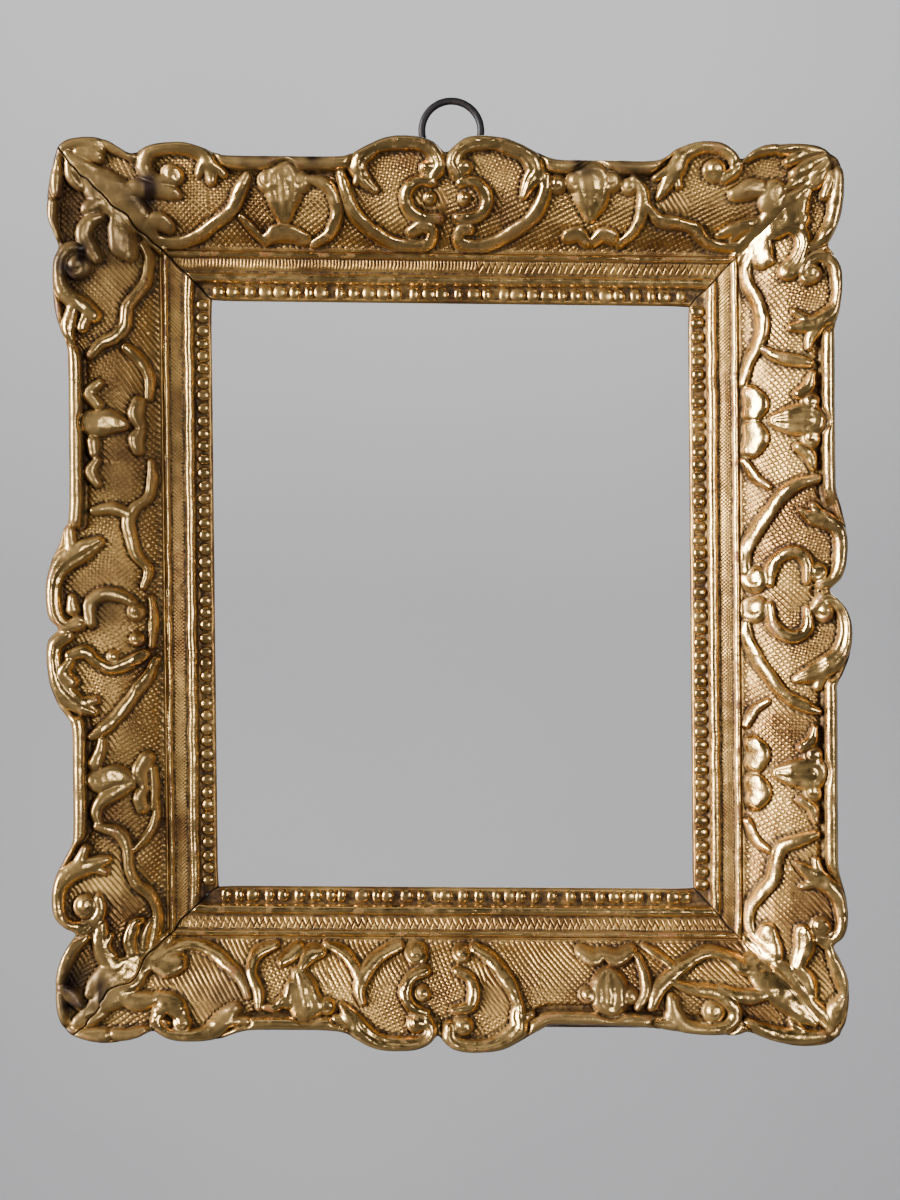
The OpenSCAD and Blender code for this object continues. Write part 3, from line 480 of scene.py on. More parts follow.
# Points across and along the carving and the moulding
CARVING_ACROSS = 104
CARVING_ALONG = 780
MOULDING_ACROSS = 52
MOULDING_ALONG = 1300


# ---- small helpers ----

def smooth_step(low, high, value):
    share = np.clip((value - low) / (high - low), 0, 1)
    return share * share * (3 - 2 * share)


def height_at(table, t):
    rows = np.array(table, float)
    return np.interp(t, rows[:, 0], rows[:, 1])


def strip(t, start, full, fading, finish):
    """1 from full to fading, easing to 0 at start and finish."""
    return smooth_step(start, full, t) * (1 - smooth_step(fading, finish, t))


def ripple(x, apart):
    """A wave from 0 to 1, with its crests this far apart."""
    return 0.5 + 0.5 * np.cos(2 * np.pi * x / apart)


class Waver:
    """Smooth random values from -1 to 1 over the plane, the same on every run."""

    def __init__(self, seed, cell):
        self.cell = cell
        self.lattice = np.random.RandomState(seed).uniform(-1, 1, (128, 128))

    def __call__(self, x, z):
        u = x / self.cell + 640.0
        v = z / self.cell + 640.0
        i = np.floor(u).astype(int)
        j = np.floor(v).astype(int)
        a = (u - i) ** 2 * (3 - 2 * (u - i))
        b = (v - j) ** 2 * (3 - 2 * (v - j))
        i = i % 127
        j = j % 127
        near = self.lattice[i, j] * (1 - a) + self.lattice[i + 1, j] * a
        far = self.lattice[i, j + 1] * (1 - a) + self.lattice[i + 1, j + 1] * a
        return near * (1 - b) + far * b


hand_across = Waver(3, 9.0)
hand_along = Waver(4, 9.0)
slow_change = Waver(5, 28.0)
knife_marks = Waver(6, 2.2)
gesso_lumps = Waver(8, 5.0)


def half_run(rail):
    return HALF_W if rail in ("top", "bottom") else HALF_H


def on_face(rail, s, t):
    """(x, z) about the middle of the sight, for a point on a rail."""
    if rail == "top":
        return s, HALF_H + t
    if rail == "bottom":
        return -s, -(HALF_H + t)
    if rail == "right":
        return HALF_W + t, -s
    return -(HALF_W + t), s


def in_place(x, z, h):
    """Points in the shared frame, in metres, leaned a little out of square."""
    across = CENTRE_X + (x - LEAN_ACROSS * z) * MM
    up = CENTRE_Z + (z - LEAN_UP * x) * MM
    return np.stack([across, BACK_Y - h * MM, up], -1)


def drawn_line(points, step=0.5):
    """A smooth line through the drawing's points."""
    p = np.array(points, float)
    if len(p) == 1:
        return p
    ends = np.vstack([2 * p[0] - p[1], p, 2 * p[-1] - p[-2]])
    line = []
    for a, b, c, d in zip(ends[:-3], ends[1:-2], ends[2:-1], ends[3:]):
        count = max(2, int(np.hypot(*(c - b)[:2]) / step))
        w = (np.arange(count) / count)[:, None]
        line.append(0.5 * (2 * b + (c - a) * w + (2 * a - 5 * b + 4 * c - d) * w ** 2
                           + (3 * b - a - 3 * c + d) * w ** 3))
    line.append(p[-1:])
    return np.vstack(line)


def drawn_strokes():
    """Every stroke as (rise, rows of x, z and half width)."""
    strokes = []
    for place, drawn in (*STROKES.items(), *CORNER_LEAVES.items()):
        for rise, points in drawn:
            line = drawn_line(points)
            if place in RAIL_NAMES:
                x, z = on_face(place, line[:, 0], line[:, 1])
            else:
                x = place[0] * (HALF_W + line[:, 0])
                z = place[1] * (HALF_H + line[:, 1])
            strokes.append((rise, np.stack([x, z, np.maximum(line[:, 2], 0.6)], 1)))
    return strokes


def outline_of(rail):
    """The outer edge as t at each share of the way from the middle (0) to a mitre (-1 or 1)."""
    line = drawn_line([(s, t) for s, t in OUTLINE[rail]], 1.0)
    share = line[:, 0] / (half_run(rail) + line[:, 1])
    share = np.maximum.accumulate(share + np.arange(len(share)) * 1e-9)
    share[0] = -1
    share[-1] = 1
    return share, line[:, 1]


# ---- the carved face ----

def nearest_on(line, x, z):
    """Distance to a stroke's line, the half width there, and the signed distance (left is positive)."""
    if len(line) == 1:
        away = np.hypot(x - line[0, 0], z - line[0, 1])
        return away, np.full(x.shape, line[0, 2]), away * 0
    best = np.full(x.shape, 1e9)
    away = np.full(x.shape, 1e9)
    width = np.ones(x.shape)
    signed = np.zeros(x.shape)
    for (ax, az, aw), (bx, bz, bw) in zip(line[:-1], line[1:]):
        run_x = bx - ax
        run_z = bz - az
        length = run_x * run_x + run_z * run_z + 1e-12
        f = np.clip(((x - ax) * run_x + (z - az) * run_z) / length, 0, 1)
        d = np.hypot(x - ax - f * run_x, z - az - f * run_z)
        w = aw + f * (bw - aw)
        nearer = d / w < best
        best = np.where(nearer, d / w, best)
        away = np.where(nearer, d, away)
        width = np.where(nearer, w, width)
        left = np.sign(run_x * (z - az) - run_z * (x - ax))
        signed = np.where(nearer, d * left, signed)
    return away, width, signed


def bend_of(line):
    """1 where a stroke curls to the left, -1 to the right."""
    step = np.diff(line[:, :2], axis=0)
    turn = step[:-1, 0] * step[1:, 1] - step[:-1, 1] * step[1:, 0]
    return 1.0 if turn.sum() >= 0 else -1.0


def carved_strokes(x, z, strokes):
    """How high the strokes stand above the ground, and the distance to the nearest one's edge."""
    top = np.zeros(x.shape)
    edge = np.full(x.shape, 9.0)
    loose = 1 + 0.13 * hand_across(x * 1.4, z * 1.4)
    for rise, line in strokes:
        widest = line[:, 2].max()
        reach = widest * 1.5 + 3.0
        near = ((x > line[:, 0].min() - reach) & (x < line[:, 0].max() + reach)
                & (z > line[:, 1].min() - reach) & (z < line[:, 1].max() + reach))
        if not near.any():
            continue
        away, width, signed = nearest_on(line, x[near], z[near])
        is_leaf = widest >= LEAF_WIDE
        is_scroll = rise >= SCROLL_RISE
        width = width * loose[near] * (1.32 if is_leaf else 1.34 if is_scroll else 1.2)
        q = np.clip(away / width, 0, 1)
        across = np.clip(signed / width, -1, 1)
        rounded = (1 - q ** (3.0 if is_leaf else 2.3)) ** 0.85
        body = rise * rounded * (0.55 + 0.45 * np.clip(width / widest, 0, 1))
        if len(line) == 1:
            around = np.arctan2(z[near] - line[0, 1], x[near] - line[0, 0])
            curl = 0.5 + 0.5 * np.cos(around + 5.5 * q)
            body = 0.88 * body - 0.9 * curl ** 3 * smooth_step(0.1, 0.45, q) * (1 - q ** 4)
        elif widest >= FLUTED_WIDE and len(line) < 45:
            body = body - 0.6 * (0.5 - 0.5 * np.cos(3 * np.pi * across)) * (1 - q ** 3)
        elif is_scroll and not is_leaf and len(line) > 30:
            hollow_side = across * bend_of(line)
            body = body - 0.8 * np.exp(-((hollow_side - 0.38) / 0.24) ** 2)
        body = np.maximum(body, 0)
        was = top[near]
        blend = np.clip(1 - np.abs(was - body) / 0.9, 0, 1)
        both = smooth_step(0, 0.8, np.minimum(was, body))
        top[near] = np.maximum(was, body) + 0.3 * blend ** 2 * both
        edge[near] = np.minimum(edge[near], away - width)
    return top, edge


def ground_cuts(x, z):
    """The ground's crossed cuts, a little uneven as by hand: 0 between cuts, 1 in one."""
    lying = np.abs(z) - HALF_H > np.abs(x) - HALF_W
    run = np.where(lying, x * np.sign(z), z * -np.sign(x)) + np.where(lying, 0, 500) + 900
    field = np.floor(run / CUT_PATCH + 0.25 * slow_change(x * 0.7, z * 0.7)).astype(int)
    lean = np.random.RandomState(21).uniform(-1, 1, 400)[field % 400]
    turn = np.radians(CUT_TURN + 14 * lean)
    crossing = turn + CUT_CROSS
    a = x + 0.5 * hand_across(x * 0.8, z * 0.8) + 0.18 * knife_marks(x * 0.6, z * 0.6)
    b = z + 0.5 * hand_along(x * 0.8, z * 0.8) + 0.18 * knife_marks(z * 0.6, x * 0.6)
    first = (a * np.cos(turn) + b * np.sin(turn)) / CUT_GAPS[0]
    second = (a * np.cos(crossing) + b * np.sin(crossing)) / CUT_GAPS[1]
    crossed = 0.5 + 0.5 * smooth_step(-0.6, -0.1, slow_change(x + 300, z - 170))
    for spot_x, spot_z, reach in CUT_ONE_WAY:
        spot = np.hypot(x - spot_x, z - spot_z)
        crossed = crossed * smooth_step(reach * 0.8, reach, spot)
    cut_first = ripple(first, 1) ** 2.4
    cut_second = 0.85 * ripple(second, 1) ** 2.4
    strength = 0.8 + 0.25 * gesso_lumps(x, z)
    return np.maximum(cut_first, cut_second * crossed) * strength


def carved_face(x, z, t, rim, strokes):
    """Heights of the carving, and how burnished each point is."""
    crest = smooth_step(CREST_STARTS, CREST_FULL, rim)
    ground = height_at(GROUND, t)
    bar = (t - (rim - BAR_HALF)) / BAR_HALF
    inside_bar = np.abs(bar) < 1
    torus = np.where(inside_bar, BAR_HIGH + BAR_ROUND * np.sqrt(np.clip(1 - bar * bar, 0, 1)), 0)
    hollow = -2.0 * np.exp(-((t - (rim - 7.4)) / 1.4) ** 2)
    plain = np.maximum(ground + hollow, torus)
    raised = ground + 2.4 * smooth_step(rim - 4.6, rim - 2.2, t)
    surface = plain * (1 - crest) + raised * crest
    top, edge = carved_strokes(x, z, strokes)
    carved = smooth_step(0.0, 0.5, top)
    frieze = smooth_step(22.3, 23.6, t)
    in_frieze = frieze * (1 - smooth_step(rim - 8.6, rim - 7.0, t) * (1 - crest))
    open_ground = (1 - carved) * in_frieze * (1 - crest * smooth_step(rim - 4.4, rim - 2.6, t))
    cuts = ground_cuts(x, z) * open_ground
    beside = np.exp(-np.clip(edge, 0, 9) / 0.55) * (1 - carved) * frieze
    surface = surface - CUT_DEEP * cuts - 0.8 * beside
    lifted = ground + 1.2 * smooth_step(52, 57, t) * (0.4 + 0.6 * crest) + top
    under = surface * (1 - carved) + (surface - 3) * carved
    surface = np.where(top > 0.03, np.maximum(under, lifted), surface)
    surface = surface + 0.14 * knife_marks(x, z) * carved + 0.22 * gesso_lumps(x, z)
    edge_share = np.clip((rim - t) / EDGE_ROUND, 0, 1)
    surface = surface - EDGE_ROUND * (1 - np.sqrt(np.clip(1 - (1 - edge_share) ** 2, 0, 1)))
    on_bar = inside_bar * (1 - crest)
    burnish = np.clip(np.maximum(carved * smooth_step(0.8, 2.2, top), on_bar), 0, 1)
    return surface, burnish


def moulding_face(rail, s, t):
    """Heights of the moulding inside the carving, how burnished it is and where the beads cover it."""
    x, z = on_face(rail, s, t)
    moved = t + 0.22 * hand_across(x, z)
    surface = height_at(MOULDING, moved)
    along = s + 0.35 * hand_along(x * 2.2, z * 2.2)
    ticked = ripple(along, 1.5) ** 1.4 * smooth_step(13.6, 16.0, moved)
    zigzag = 14.0 + 3.4 * np.abs(np.mod(along / 2.9, 1) - 0.5) * 2
    chevrons = np.exp(-((moved - zigzag) / 0.75) ** 2)
    stipple = ripple(along + moved, 1.55) * ripple(along - moved, 1.7)
    if rail == "top":
        ticks = np.where(s < 10 + 3 * hand_across(s, s), ticked, chevrons)
        depth = 0.85
    elif rail == "bottom":
        ticks = chevrons
        depth = 0.95
    else:
        ticks = stipple
        depth = 0.8
    band = strip(moved, 12.9, 13.5, 17.6, 18.1)
    surface = surface - depth * ticks * band * (0.75 + 0.25 * gesso_lumps(x, z))
    surface = surface + 0.16 * gesso_lumps(x, z) * smooth_step(0.5, 3, t)
    under_beads = strip(moved, 1.2, 1.8, 6.6, 7.4)
    fillets = strip(moved, 7.6, 8.4, 11.8, 12.5) + strip(moved, 18.4, 19.2, 20.6, 21.3)
    return surface, np.clip(fillets, 0, 1), under_beads


# ---- meshes ----

def blurred(values, reach):
    """A running mean over the grid, along it and across it."""
    kernel = np.ones(2 * reach + 1) / (2 * reach + 1)
    for axis in (0, 1):
        pad = [(0, 0), (0, 0)]
        pad[axis] = (reach, reach)
        wide = np.pad(values, pad, mode="edge")
        values = np.apply_along_axis(lambda row: np.convolve(row, kernel, "valid"), axis, wide)
    return values


def closed_solid(name, grid, values, material):
    """A mesh from a ring of rows by columns of points, closed at both ends, with its values per point."""
    rows, columns = grid.shape[:2]
    index = np.arange(rows * columns).reshape(rows, columns)
    below = np.roll(index, -1, axis=0)
    quads = np.stack([index[:, :-1], index[:, 1:], below[:, 1:], below[:, :-1]], -1).reshape(-1, 4)
    points = grid.reshape(-1, 3)
    a, b, c, d = (points[quads[:, k]] for k in range(4))
    middle = points.mean(0)
    volume = np.einsum("ij,ij->i", a - middle, np.cross(b - middle, c - middle)).sum()
    volume += np.einsum("ij,ij->i", a - middle, np.cross(c - middle, d - middle)).sum()
    start_cap = index[:, 0]
    end_cap = index[::-1, -1]
    if volume < 0:
        quads = quads[:, ::-1]
        start_cap = start_cap[::-1]
        end_cap = end_cap[::-1]
    corners = np.concatenate([quads.ravel(), start_cap, end_cap])
    sizes = np.concatenate([np.full(len(quads), 4), [rows, rows]])
    mesh = bpy.data.meshes.new(name)
    mesh.vertices.add(len(points))
    mesh.vertices.foreach_set("co", points.ravel())
    mesh.loops.add(len(corners))
    mesh.loops.foreach_set("vertex_index", corners.astype(np.int32))
    mesh.polygons.add(len(sizes))
    starts = np.concatenate([[0], np.cumsum(sizes)[:-1]])
    mesh.polygons.foreach_set("loop_start", starts.astype(np.int32))
    mesh.polygons.foreach_set("loop_total", sizes.astype(np.int32))
    smooth = np.ones(len(sizes), bool)
    smooth[-2:] = False
    mesh.update(calc_edges=True)
    mesh.polygons.foreach_set("use_smooth", smooth)
    mesh.validate()
    for value_name, value in values.items():
        attribute = mesh.attributes.new(value_name, "FLOAT", "POINT")
        attribute.data.foreach_set("value", np.clip(value, 0, 1).astype(np.float32).ravel())
    mesh.materials.append(material)
    return add_to_scene(name, mesh)


def columns_of(rail, count):
    """Shares of the way along a rail, from -1 at one mitre to 1 at the other, closer at the ends."""
    even = np.linspace(-1, 1, count - 8)
    gap = np.array([0.12, 0.3, 0.6, 1.0]) / (half_run(rail) + 30)
    return np.unique(np.concatenate([even, -1 + gap, 1 - gap]))


def mitre_corner(rail, share_sign):
    """(side, end) of the corner at a rail's start (-1) or finish (1)."""
    corners = ((-1, 1), (1, 1), (1, -1), (-1, -1))
    return corners[(RAIL_NAMES.index(rail) + (share_sign > 0)) % 4]


def mitre_wander(corner, t):
    """How far the crack along a mitre strays from the straight line, in mm."""
    side, end = corner
    outer = strip(t, 21, 30, 56, 62)
    waver = hand_across(side * 40 + t * 1.1, end * 70 + t * 0.4)
    jag = gesso_lumps(side * 90 + t * 1.3, end * 30 - t * 0.7)
    near, far = CRACKS[corner]
    return waver * (1.2 * near + 1.5 * far * outer) + jag * (0.9 * near + 0.3 * far * outer)


def strayed(rail, share, s, t, follow=1.0):
    """(x, z) of grid points, with the ends bent to follow the cracks, and how near a crack each is.

    follow is 0 where the mitre stays straight, as it does on the back.
    """
    x, z = on_face(rail, s, t)
    x = x.copy()
    z = z.copy()
    crack = np.zeros(x.shape)
    for sign in (-1, 1):
        corner = mitre_corner(rail, sign)
        side, end = corner
        from_mitre = (1 - sign * share) * (half_run(rail) + t)
        ease = np.clip(1 - from_mitre / 12, 0, 1) ** 2
        stray = mitre_wander(corner, t) * ease * follow / math.sqrt(2)
        x += side * stray
        z -= end * stray
        near, far = CRACKS[corner]
        open_here = near + (far - near) * smooth_step(19, 24, t)
        crack = np.maximum(crack, open_here * np.exp(-(from_mitre / 0.55) ** 2))
        pull = 0.1 * open_here * np.exp(-(from_mitre / 0.3) ** 2)
        inward = np.subtract(on_face(rail, -sign, 0.0), on_face(rail, 0.0, 0.0))
        x += inward[0] * pull
        z += inward[1] * pull
    return x, z, crack


def dark_spots_at(x, z):
    """How darkened each point is, from 0 to 1."""
    darkening = np.zeros(x.shape)
    for spot_x, spot_z, reach, strength in DARK_SPOTS:
        away = np.hypot(x - spot_x, z - spot_z) / reach
        darkening = np.maximum(darkening, strength * np.exp(-away ** 3) * (1.15 + 0.3 * gesso_lumps(x, z)))
    return darkening


def face_then_wall(face, wall):
    """The values of a piece's points, its face first and then the wall round it, 0 where none is given."""
    return {name: np.vstack([rows.get(name, np.zeros(rows["crack"].shape)) for rows in (face, wall)])
            for name in VALUE_NAMES}


def rail_carving(rail, strokes, material):
    """The carved part of one rail, from the moulding out to its edge and round to the back."""
    share = columns_of(rail, CARVING_ALONG)[None, :]
    edge_share, edge_t = outline_of(rail)
    rim = np.interp(share, edge_share, edge_t)
    down = np.linspace(0, 1, CARVING_ACROSS)[:, None]
    down = down + 0.012 * np.sin(np.pi * down) * down
    t = MOULDING_WIDE + down * (rim - MOULDING_WIDE)
    s = share * (half_run(rail) + t)
    x, z, crack = strayed(rail, share, s, t)
    rims = np.broadcast_to(rim, t.shape)
    h, burnish = carved_face(x, z, t, rims, strokes)
    h = h - CRACK_DEEP * crack
    # hollow marks where the surface lies below its surroundings; the finish darkens it as dirt and as painted
    # shade in the recesses
    mean = blurred(h, 5)
    hollow = np.clip((mean - h) / 1.3, 0, 1)
    proud = np.clip((h - mean) / 1.1, 0, 1)
    # Painted shade along the outer rim: the last few mm before the edge are darkened as if they mirrored a
    # wall in shade
    rim_painted_shade = (0.78 + 0.3 * hand_across(x, z)) * (1 - smooth_step(0.5, 2.4, rims - t))

    # Down the side, across the back and up behind the moulding: t, h and how bare the wood is
    wall = [(rim, h[-1] - 1.2, 0), (rim - 0.3, h[-1] - 3.0, 0), (np.maximum(60.6, rim - 3.2), h[-1] - 9.0, 0),
            (np.minimum(60.0, rim), 24, 0), (59.4, 14, 0.2), (58.7, 6, 0.3), (58.2, 1.3, 0.7), (57.8, 0.6, 1),
            (BACK_WIDE, 0.3, 1)]
    wall += [(edge, 0, 1) for edge in (54, 50, 46, 42, 38, 34, 30, 26, 22.5, MOULDING_WIDE)]
    wall.append((MOULDING_WIDE, 10, 1))
    wall_t, wall_h, bare = (np.vstack([np.broadcast_to(np.array(row[k], float), rim.shape) for row in wall])
                            for k in range(3))
    wall_s = share * (half_run(rail) + wall_t)
    follow = np.clip((wall_h - 1) / 30, 0, 1)
    wall_x, wall_z, wall_crack = strayed(rail, share, wall_s, wall_t, follow)
    flat_back = (wall_h <= 0.3) & (wall_t < 58)
    from_corner = np.hypot(np.abs(wall_x) - HALF_W - 30, np.abs(wall_z) - HALF_H - 30)
    beside_key = 1 - smooth_step(38, 48, from_corner)
    planed = 0.12 + 0.3 * beside_key + 0.06 * hand_across(wall_x * 1.5, wall_z * 1.5)
    wall_h = np.where(flat_back, planed, wall_h)
    wall_h = wall_h + np.where(flat_back, 0, 0.25 * gesso_lumps(wall_x + wall_h * 3, wall_z + wall_h))
    wall_h = np.clip(wall_h, 0.06, None)

    side = np.zeros(wall_t.shape)
    side[0] = 0.4
    side[1:7] = 1
    grid = in_place(np.vstack([x, wall_x]), np.vstack([z, wall_z]), np.vstack([h, wall_h]))
    # The dark spots and the painted shade along the rim go into one value that darkens the leaf
    values = face_then_wall({"hollow": np.maximum(hollow, crack), "proud": proud, "burnish": burnish,
                             "crack": crack, "darkening": np.maximum(dark_spots_at(x, z), rim_painted_shade)},
                            {"bare": bare, "side": side, "crack": wall_crack})
    return closed_solid(f"{rail}_rail_carving", grid, values, material)


def rail_moulding(rail, material):
    """The plain inner part of one rail: fillets, nicked band, hollow, roll and the rebate behind."""
    share = columns_of(rail, MOULDING_ALONG)[None, :]
    across = np.concatenate([np.linspace(MOULDING_WIDE, 0.5, MOULDING_ACROSS), [0.2, 0.0]])
    t = across[:, None] + 0 * share
    s = share * (half_run(rail) + t)
    x, z, crack = strayed(rail, share, s, t)
    h, burnish, under_beads = moulding_face(rail, s, t)
    h = h - MOULDING_CRACK_DEEP * crack
    mean = blurred(h, 4)
    # The hollows are darkened as dirt and as painted shade, and the band under the beads as painted shade so
    # the gaps between the beads look dark
    hollow = np.clip((mean - h) / 0.7 + 0.75 * under_beads, 0, 1)
    proud = np.clip((h - mean) / 0.6, 0, 1)
    # Round the rebate, across the back and up behind the carving: t, h and how bare the wood is
    wall = [(0.15, 13.0, 0.0), (0.5, REBATE_DEEP + 0.15, 0.5), (1.2, REBATE_DEEP, 1),
            (REBATE_WIDE - 0.3, REBATE_DEEP, 1), (REBATE_WIDE, REBATE_DEEP - 0.3, 1), (REBATE_WIDE, 0.5, 1),
            (REBATE_WIDE + 0.4, 0.12, 1), (12, 0.12, 1), (18, 0.12, 1), (MOULDING_WIDE, 0.12, 1),
            (MOULDING_WIDE, 10, 1)]
    wall_t, wall_h, bare = (np.array(column)[:, None] + 0 * share for column in zip(*wall))
    wall_s = share * (half_run(rail) + wall_t)
    follow = np.clip((wall_h - 1) / 12, 0, 1)
    wall_x, wall_z, wall_crack = strayed(rail, share, wall_s, wall_t, follow)
    grid = in_place(np.vstack([x, wall_x]), np.vstack([z, wall_z]), np.vstack([h, wall_h]))
    values = face_then_wall({"hollow": np.maximum(hollow, crack), "proud": proud, "burnish": burnish,
                             "crack": crack, "darkening": dark_spots_at(x, z)},
                            {"bare": bare, "crack": wall_crack})
    return closed_solid(f"{rail}_rail_moulding", grid, values, material)


# ---- beads of the sight roll, by Geometry Nodes ----

def fill_inputs(tree, node, inputs):
    """A node's inputs, set to values or linked to other nodes' outputs."""
    for key, value in inputs.items():
        if isinstance(value, bpy.types.NodeSocket):
            tree.links.new(value, node.inputs[key])
        else:
            node.inputs[key].default_value = value


def add_node(tree, kind, inputs, **settings):
    """A node with its settings and its inputs."""
    node = tree.nodes.new(kind)
    for key, value in settings.items():
        setattr(node, key, value)
    fill_inputs(tree, node, inputs)
    return node


def bead_row_tree():
    """A straight row of soft-cornered beads, each a little different."""
    tree = bpy.data.node_groups.new("bead row", "GeometryNodeTree")
    for name, kind in (("Geometry", "NodeSocketGeometry"), ("Start", "NodeSocketVector"),
                       ("Step", "NodeSocketVector"), ("Count", "NodeSocketInt"),
                       ("Bead Size", "NodeSocketVector"), ("Spread", "NodeSocketFloat"),
                       ("Least", "NodeSocketVector"), ("Most", "NodeSocketVector"),
                       ("Tilt", "NodeSocketFloat"), ("Seed", "NodeSocketInt"),
                       ("Material", "NodeSocketMaterial")):
        tree.interface.new_socket(name, in_out="INPUT", socket_type=kind)
    tree.interface.new_socket("Geometry", in_out="OUTPUT", socket_type="NodeSocketGeometry")
    given = tree.nodes.new("NodeGroupInput").outputs
    line = add_node(tree, "GeometryNodeMeshLine", mode="OFFSET", count_mode="TOTAL",
                    inputs={"Count": given["Count"], "Start Location": given["Start"],
                            "Offset": given["Step"]})
    shift = add_node(tree, "FunctionNodeRandomValue", data_type="FLOAT",
                     inputs={2: -1.0, 3: 1.0, "Seed": given["Seed"]}).outputs[1]
    move = add_node(tree, "ShaderNodeVectorMath", operation="SCALE",
                    inputs={0: given["Step"], "Scale": times(tree, shift, given["Spread"])})
    placed = add_node(tree, "GeometryNodeSetPosition",
                      inputs={"Geometry": line.outputs[0], "Offset": move.outputs[0]})
    block = add_node(tree, "GeometryNodeMeshCube", inputs={"Size": given["Bead Size"]})
    bead = add_node(tree, "GeometryNodeSubdivisionSurface",
                    inputs={"Mesh": block.outputs[0], "Level": 2, "Edge Crease": 0.1})
    size = add_node(tree, "FunctionNodeRandomValue", data_type="FLOAT_VECTOR",
                    inputs={0: given["Least"], 1: given["Most"], "Seed": given["Seed"]})
    turn = add_node(tree, "ShaderNodeCombineXYZ", inputs={"Y": times(tree, shift, given["Tilt"])})
    rotation = add_node(tree, "FunctionNodeEulerToRotation", inputs={0: turn.outputs[0]})
    row = add_node(tree, "GeometryNodeInstanceOnPoints",
                   inputs={"Points": placed.outputs[0], "Instance": bead.outputs[0],
                           "Rotation": rotation.outputs[0], "Scale": size.outputs[0]})
    real = add_node(tree, "GeometryNodeRealizeInstances", inputs={"Geometry": row.outputs[0]})
    rubbed = add_node(tree, "GeometryNodeStoreNamedAttribute", data_type="FLOAT", domain="POINT",
                      inputs={"Geometry": real.outputs[0], "Name": "burnish", "Value": 0.85})
    smooth = add_node(tree, "GeometryNodeSetShadeSmooth", inputs={"Geometry": rubbed.outputs[0]})
    gilded = add_node(tree, "GeometryNodeSetMaterial",
                      inputs={"Geometry": smooth.outputs[0], "Material": given["Material"]})
    result = tree.nodes.new("NodeGroupOutput")
    tree.links.new(gilded.outputs[0], result.inputs[0])
    return tree


def rail_beads(rail, tree, count, length, spread, least, most, seed, material):
    """The row of beads along one rail's sight roll, as a plain mesh."""
    reach = half_run(rail) + BEAD_T - 0.6 * length - 2.5
    first, last = (in_place(*on_face(rail, s, BEAD_T), BEAD_H) for s in (-reach, reach))
    step = (last - first) / (count - 1)
    lying = rail in ("top", "bottom")
    size = (length, 4.6, 7.2) if lying else (7.2, 4.2, length)
    order = (0, 1, 2) if lying else (2, 1, 0)
    given = {"Start": first, "Step": step, "Count": count, "Bead Size": [v * MM for v in size],
             "Spread": spread, "Least": [least[k] for k in order], "Most": [most[k] for k in order],
             "Tilt": 0.14, "Seed": seed, "Material": material}
    holder = add_to_scene("holder", bpy.data.meshes.new("holder"))
    modifier = holder.modifiers.new("beads", "NODES")
    modifier.node_group = tree
    for item in tree.interface.items_tree:
        if item.in_out == "INPUT" and item.name in given:
            value = given[item.name]
            if isinstance(value, np.ndarray):
                value = [float(v) for v in value]
            modifier[item.identifier] = value
    evaluated = holder.evaluated_get(bpy.context.evaluated_depsgraph_get())
    mesh = bpy.data.meshes.new_from_object(evaluated)
    bpy.data.objects.remove(holder)
    mesh.name = f"{rail}_rail_beads"
    return add_to_scene(mesh.name, mesh)


# ---- finishes ----

def new_group(name, inputs, outputs):
    """An empty shader node group with named inputs (with their usual values) and outputs."""
    group = bpy.data.node_groups.new(name, "ShaderNodeTree")
    for socket_name, kind, value in inputs:
        socket = group.interface.new_socket(socket_name, in_out="INPUT", socket_type=kind)
        if value is not None:
            socket.default_value = value
    for socket_name, kind in outputs:
        group.interface.new_socket(socket_name, in_out="OUTPUT", socket_type=kind)
    return group, group.nodes.new("NodeGroupInput").outputs, group.nodes.new("NodeGroupOutput").inputs


def noise(tree, vector, scale, detail=3.0, rough=0.55):
    node = add_node(tree, "ShaderNodeTexNoise",
                    {"Vector": vector, "Scale": scale, "Detail": detail, "Roughness": rough})
    return node.outputs["Fac"]


def between(tree, value, low, high, out_low=0.0, out_high=1.0):
    """A value spread from low..high to out_low..out_high, and held there."""
    node = add_node(tree, "ShaderNodeMapRange", {"Value": value, "From Min": low, "From Max": high,
                                                 "To Min": out_low, "To Max": out_high})
    return node.outputs["Result"]


def reckoned(tree, operation, first, second, hold=False):
    """One sum on two values, held between 0 and 1 if asked."""
    node = add_node(tree, "ShaderNodeMath", {0: first, 1: second}, operation=operation, use_clamp=hold)
    return node.outputs[0]


def times(tree, first, second):
    """Two values multiplied."""
    return reckoned(tree, "MULTIPLY", first, second)


def mixed(tree, share, first, second):
    """Two colours mixed by a share."""
    node = add_node(tree, "ShaderNodeMix", data_type="RGBA", inputs={0: share, 6: first, 7: second})
    return node.outputs[2]


def colour(red, green, blue):
    return (red, green, blue, 1.0)


FLOAT = "NodeSocketFloat"
VECTOR = "NodeSocketVector"
COLOUR = "NodeSocketColor"

# Gold leaf where it is thin, where it is full and where it is burnished, the red bole under it, and the dark
# brown of dirt and of painted shade
THIN_LEAF = colour(0.30, 0.155, 0.052)
FULL_LEAF = colour(0.67, 0.41, 0.13)
BURNISHED_LEAF = colour(0.92, 0.61, 0.235)
RED_BOLE = colour(0.19, 0.058, 0.022)
DIRT_AND_SHADE_DARK = colour(0.020, 0.0085, 0.0040)
CRACK_DARK = colour(0.015, 0.008, 0.004)
# The ochre wash on the frame's sides, pale and dark
WASH_PALE = colour(0.22, 0.11, 0.034)
WASH_DARK = colour(0.10, 0.045, 0.016)
WOOD_LIGHT = colour(0.30, 0.19, 0.10)
WOOD_DARK = colour(0.10, 0.055, 0.026)
KEY_LIGHT = colour(0.34, 0.22, 0.12)
KEY_DIRT = colour(0.05, 0.03, 0.018)


